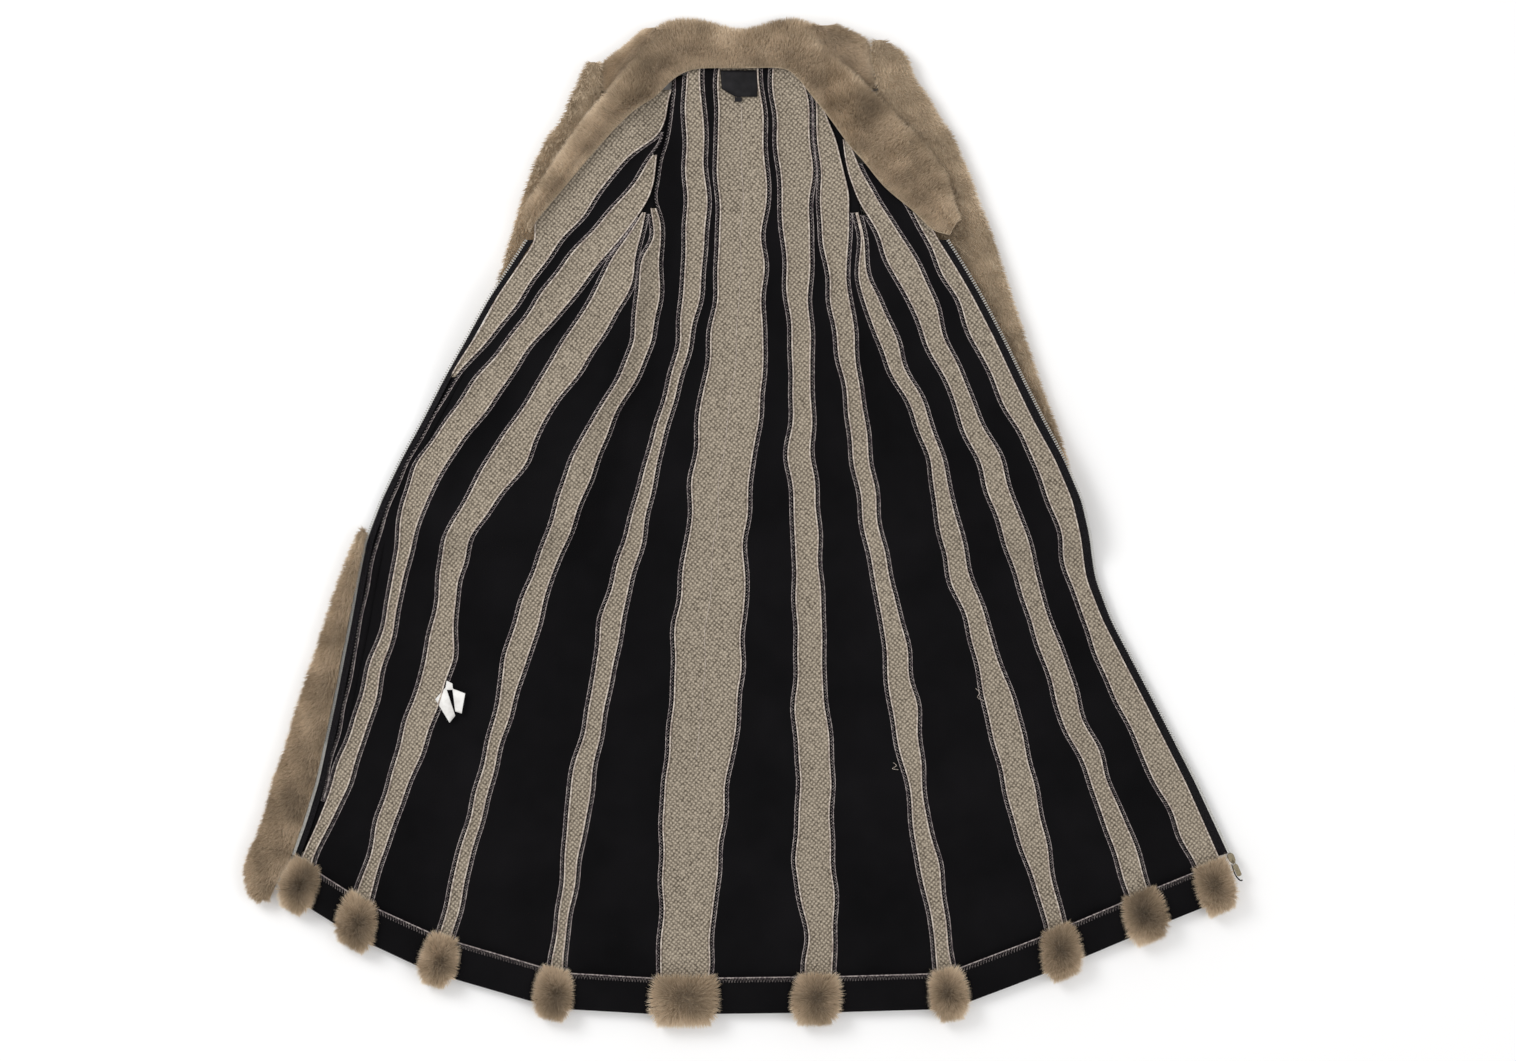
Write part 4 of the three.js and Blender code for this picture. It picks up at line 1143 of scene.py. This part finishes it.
def solid_from_outline(outline, low, high, bevel=0.6):
    """A plate from an outline given along and across the zip, with its rims rounded."""
    outline = np.array(outline, float)
    middle = outline.mean(0)
    rings = []
    for inset, z in ((bevel, low), (0, low + bevel), (0, high - bevel), (bevel * 0.4, high - bevel * 0.3),
                     (bevel, high)):
        shrunk = middle + (outline - middle) * (1 - inset / np.abs(outline - middle).max())
        rings.append(by_slider(shrunk, z))
    count = len(outline)
    points = np.concatenate(rings)
    first = np.arange(count)
    nxt = (first + 1) % count
    last = len(points) - count
    bottom, top = np.full(count, len(points)), np.full(count, len(points) + 1)
    sides = grid_faces(len(rings), count, flip=True, closed=True)
    faces = np.concatenate([sides[:, (0, 1, 2, 0, 2, 3)].reshape(-1, 3),
                            np.stack([bottom, nxt, first], 1),
                            np.stack([top, last + first, last + nxt], 1)])
    caps = np.array([points[:count].mean(0), points[last:].mean(0)])
    return np.concatenate([points, caps]), faces


OVAL_PLACES = 28
OVAL_POWER = 2 / 2.6


def oval(length, width, at=0.0, taper=0.0):
    """An outline between an oblong and an ellipse, which may get narrower along the zip."""
    turn = 2 * math.pi * np.arange(OVAL_PLACES) / OVAL_PLACES
    along, across = (np.sign(wave) * np.abs(wave) ** OVAL_POWER / 2
                     for wave in (np.cos(turn), np.sin(turn)))
    return np.column_stack([at + along * length, across * width * (1 + taper * along)])


body_parts = [
    solid_from_outline(oval(15, 9, taper=-0.35), 9.0, 10.7),
    solid_from_outline(oval(15, 9, taper=-0.35), 14.4, 16.8),
    solid_from_outline(oval(11, 5.6, taper=-0.35), 16.2, 17.0, 0.3),
    solid_from_outline(oval(4, 3.4, at=-4.4), 10.2, 14.8, 0.2),
]
# The bridge that the pull tab hangs on: place along the zip, height
BRIDGE = [(7.2, 16.4), (7.2, 18.2), (6.7, 19.5), (5.6, 20.2), (4.4, 19.7), (3.4, 18.6),
          (2.4, 17.4), (1.6, 16.4)]
bridge = by_slider([(along, 0) for along, _ in BRIDGE], [high for _, high in BRIDGE])
body_parts.append(tube(smooth_rows(bridge, 4), 0.65, 8))
slider = new_mesh("zip_slider_body", *joined(body_parts), BRASS, smooth=False)
dressed(slider, "slider", "zip_slider")

# The pull tab: a pin in the bridge, two prongs and a plate with a rib
PIN_AT = 5.4
PIN_HIGH = 18.6
PLATE = [(8.4, -1.9), (9.8, -3.0), (11.5, -3.7), (24.7, -3.4), (26.1, -2.2), (26.5, 0), (26.1, 2.2),
         (24.7, 3.4), (11.5, 3.7), (9.8, 3.0), (8.4, 1.9)]
tab_parts = [solid_from_outline(PLATE, 17.8, 19.2, 0.4),
             solid_from_outline(oval(13, 1.6, at=18), 19.0, 19.8, 0.25)]
for side in (-1, 1):
    prong = [(4.8, side * 0.95), (4.8, side * 1.9), (9.2, side * 1.9), (9.2, side * 0.95)]
    tab_parts.append(solid_from_outline(prong[::side], 17.95, 19.15, 0.15))
pin_path = by_slider([(PIN_AT, across) for across in (-1.9, -0.6, 0.6, 1.9)], PIN_HIGH)
tab_parts.append(tube(pin_path, 0.5, 8))
tab = new_mesh("zip_pull_tab_plate", *joined(tab_parts), BRASS, smooth=False)
dressed(tab, "slider", "zip_pull_tab", body="pull_tab")

# The loose end of the right tape below the slider: places along and across the zip
TAPE_END = [(8, -3), (18, -4.5), (27, -4), (33, -1.5), (34, 1.5)]
TAPE_END_HIGH = 12.3
end_path = smooth_rows(by_slider(TAPE_END, TAPE_END_HIGH), 5)
dressed(new_mesh("zip_tape_end", *tube(end_path, 1.0, 6), ZIP_TAPE), "zip_tape")

# Loose thread ends on the jersey: places in the photograph
LOOSE_THREADS = [
    [(975, 688), (979, 692), (977, 697), (983, 700)],
    [(1050, 650), (1046, 655), (1051, 660), (1047, 664)],
    [(893, 762), (896, 765), (892, 768), (898, 769)],
    [(668, 745), (672, 742), (674, 748)],
]
THREAD_RADIUS = 0.35
threads = []
for places in LOOSE_THREADS:
    path = smooth_rows([(*from_picture(*place), FUR + 0.9) for place in places], 5)
    threads.append(tube(path, THREAD_RADIUS))
dressed(new_mesh("loose_threads", *joined(threads), CORD), "jersey")

PATCH_LOW = 12.3
# The bare neck label, its size tab and the care tag: cloth, slot and thickness
LABEL = (LABEL_CLOTH, "label", 0.8)
CARE_TAG = (TAG_CLOTH, "care_tag", 0.5)


def patch(name, kind, top_edge, bottom_edge, low, bow, *nodes):
    """A thin sewn patch between two edges, each a list of places from left to right."""
    material, slot_name, thickness = kind
    across, down = np.linspace(0, 1, 13), np.linspace(0, 1, 9)

    def along(edge):
        edge = np.array(edge, float)
        at = np.linspace(0, 1, len(edge))
        return np.column_stack([np.interp(across, at, edge[:, 0]), np.interp(across, at, edge[:, 1])])

    top, bottom = along(top_edge), along(bottom_edge)
    xy = top[None] * (1 - down)[:, None, None] + bottom[None] * down[:, None, None]
    curve = bow * np.sin(math.pi * across)[None] * np.sin(math.pi * down)[:, None]
    upper = np.dstack([xy, low + thickness + curve])
    piece = wall_mesh(name, upper, upper - np.array([0, 0, thickness]), material)
    dressed(piece, slot_name, *nodes)
    return piece, upper


label, label_grid = patch("neck_label_satin", LABEL, [(-38, 639), (14, 639)],
                          [(-36, 613), (-17, 602), (14, 602)], PATCH_LOW, 0.8, "neck_label")
size_tab, _ = patch("size_tab_satin", LABEL, [(-18, 601.5), (-8, 601.5)], [(-18, 595), (-8, 595)],
                    PATCH_LOW, 0.2, "size_tab")
leaf, leaf_grid = patch("care_tag_leaf", CARE_TAG, [(-436, -239), (-421, -222)],
                        [(-416, -272), (-408, -262)], PATCH_LOW, 1.2, "care_tag")
second, second_grid = patch("care_tag_second_leaf", CARE_TAG, [(-412, -224), (-394, -231)],
                            [(-408, -256), (-399, -259)], PATCH_LOW + 0.2, 1.0)
stub, _ = patch("care_tag_stub", CARE_TAG, [(-420, -213), (-412, -217)], [(-422, -226), (-411, -226)],
                PATCH_LOW + 0.1, 0.4)

# Floor, light and camera
bpy.ops.mesh.primitive_plane_add(size=14, location=(0, 0, -0.0005))
floor = bpy.context.object
floor.name = "floor"
floor_material, _, floor_shader = new_material("pale_floor", 0.9, specular=0.1)
floor_shader.inputs["Base Color"].default_value = (0.96, 0.96, 0.965, 1)
floor.data.materials.append(floor_material)

world = bpy.data.worlds.new("soft_studio")
bpy.context.scene.world = world
world.use_nodes = True
world.node_tree.nodes["Background"].inputs["Color"].default_value = (1.0, 0.995, 0.985, 1)
world.node_tree.nodes["Background"].inputs["Strength"].default_value = 0.75


def area_light(name, place, aim, size, power):
    data = bpy.data.lights.new(name, "AREA")
    data.shape = "SQUARE"
    data.size = size
    data.energy = power
    lamp = bpy.data.objects.new(name, data)
    bpy.context.scene.collection.objects.link(lamp)
    lamp.location = place
    lamp.rotation_euler = (Vector(aim) - Vector(place)).to_track_quat("-Z", "Y").to_euler()


area_light("window_side", (-2.2, 1.6, 2.6), (0, 0, 0), 1.6, 60)
area_light("far_side", (2.4, -1.0, 3.0), (0, 0, 0), 2.2, 22)

VIEW_HEIGHT = 4.5
SENSOR = 36.0
camera_data = bpy.data.cameras.new("camera")
camera_data.sensor_width = SENSOR
camera_data.lens = SENSOR * VIEW_HEIGHT / (PHOTO_WIDTH * MM_PER_PIXEL * MM)
camera_data.clip_end = 50
camera = bpy.data.objects.new("camera", camera_data)
bpy.context.scene.collection.objects.link(camera)
VIEW_MIDDLE = from_picture(PHOTO_WIDTH / 2, PHOTO_HEIGHT / 2)
camera.location = ((VIEW_MIDDLE[0] + SHIFT[0]) * MM, (VIEW_MIDDLE[1] + SHIFT[1]) * MM, VIEW_HEIGHT)
camera.rotation_euler = (0, 0, 0)
bpy.context.scene.camera = camera
bpy.context.scene.view_settings.view_transform = "Standard"
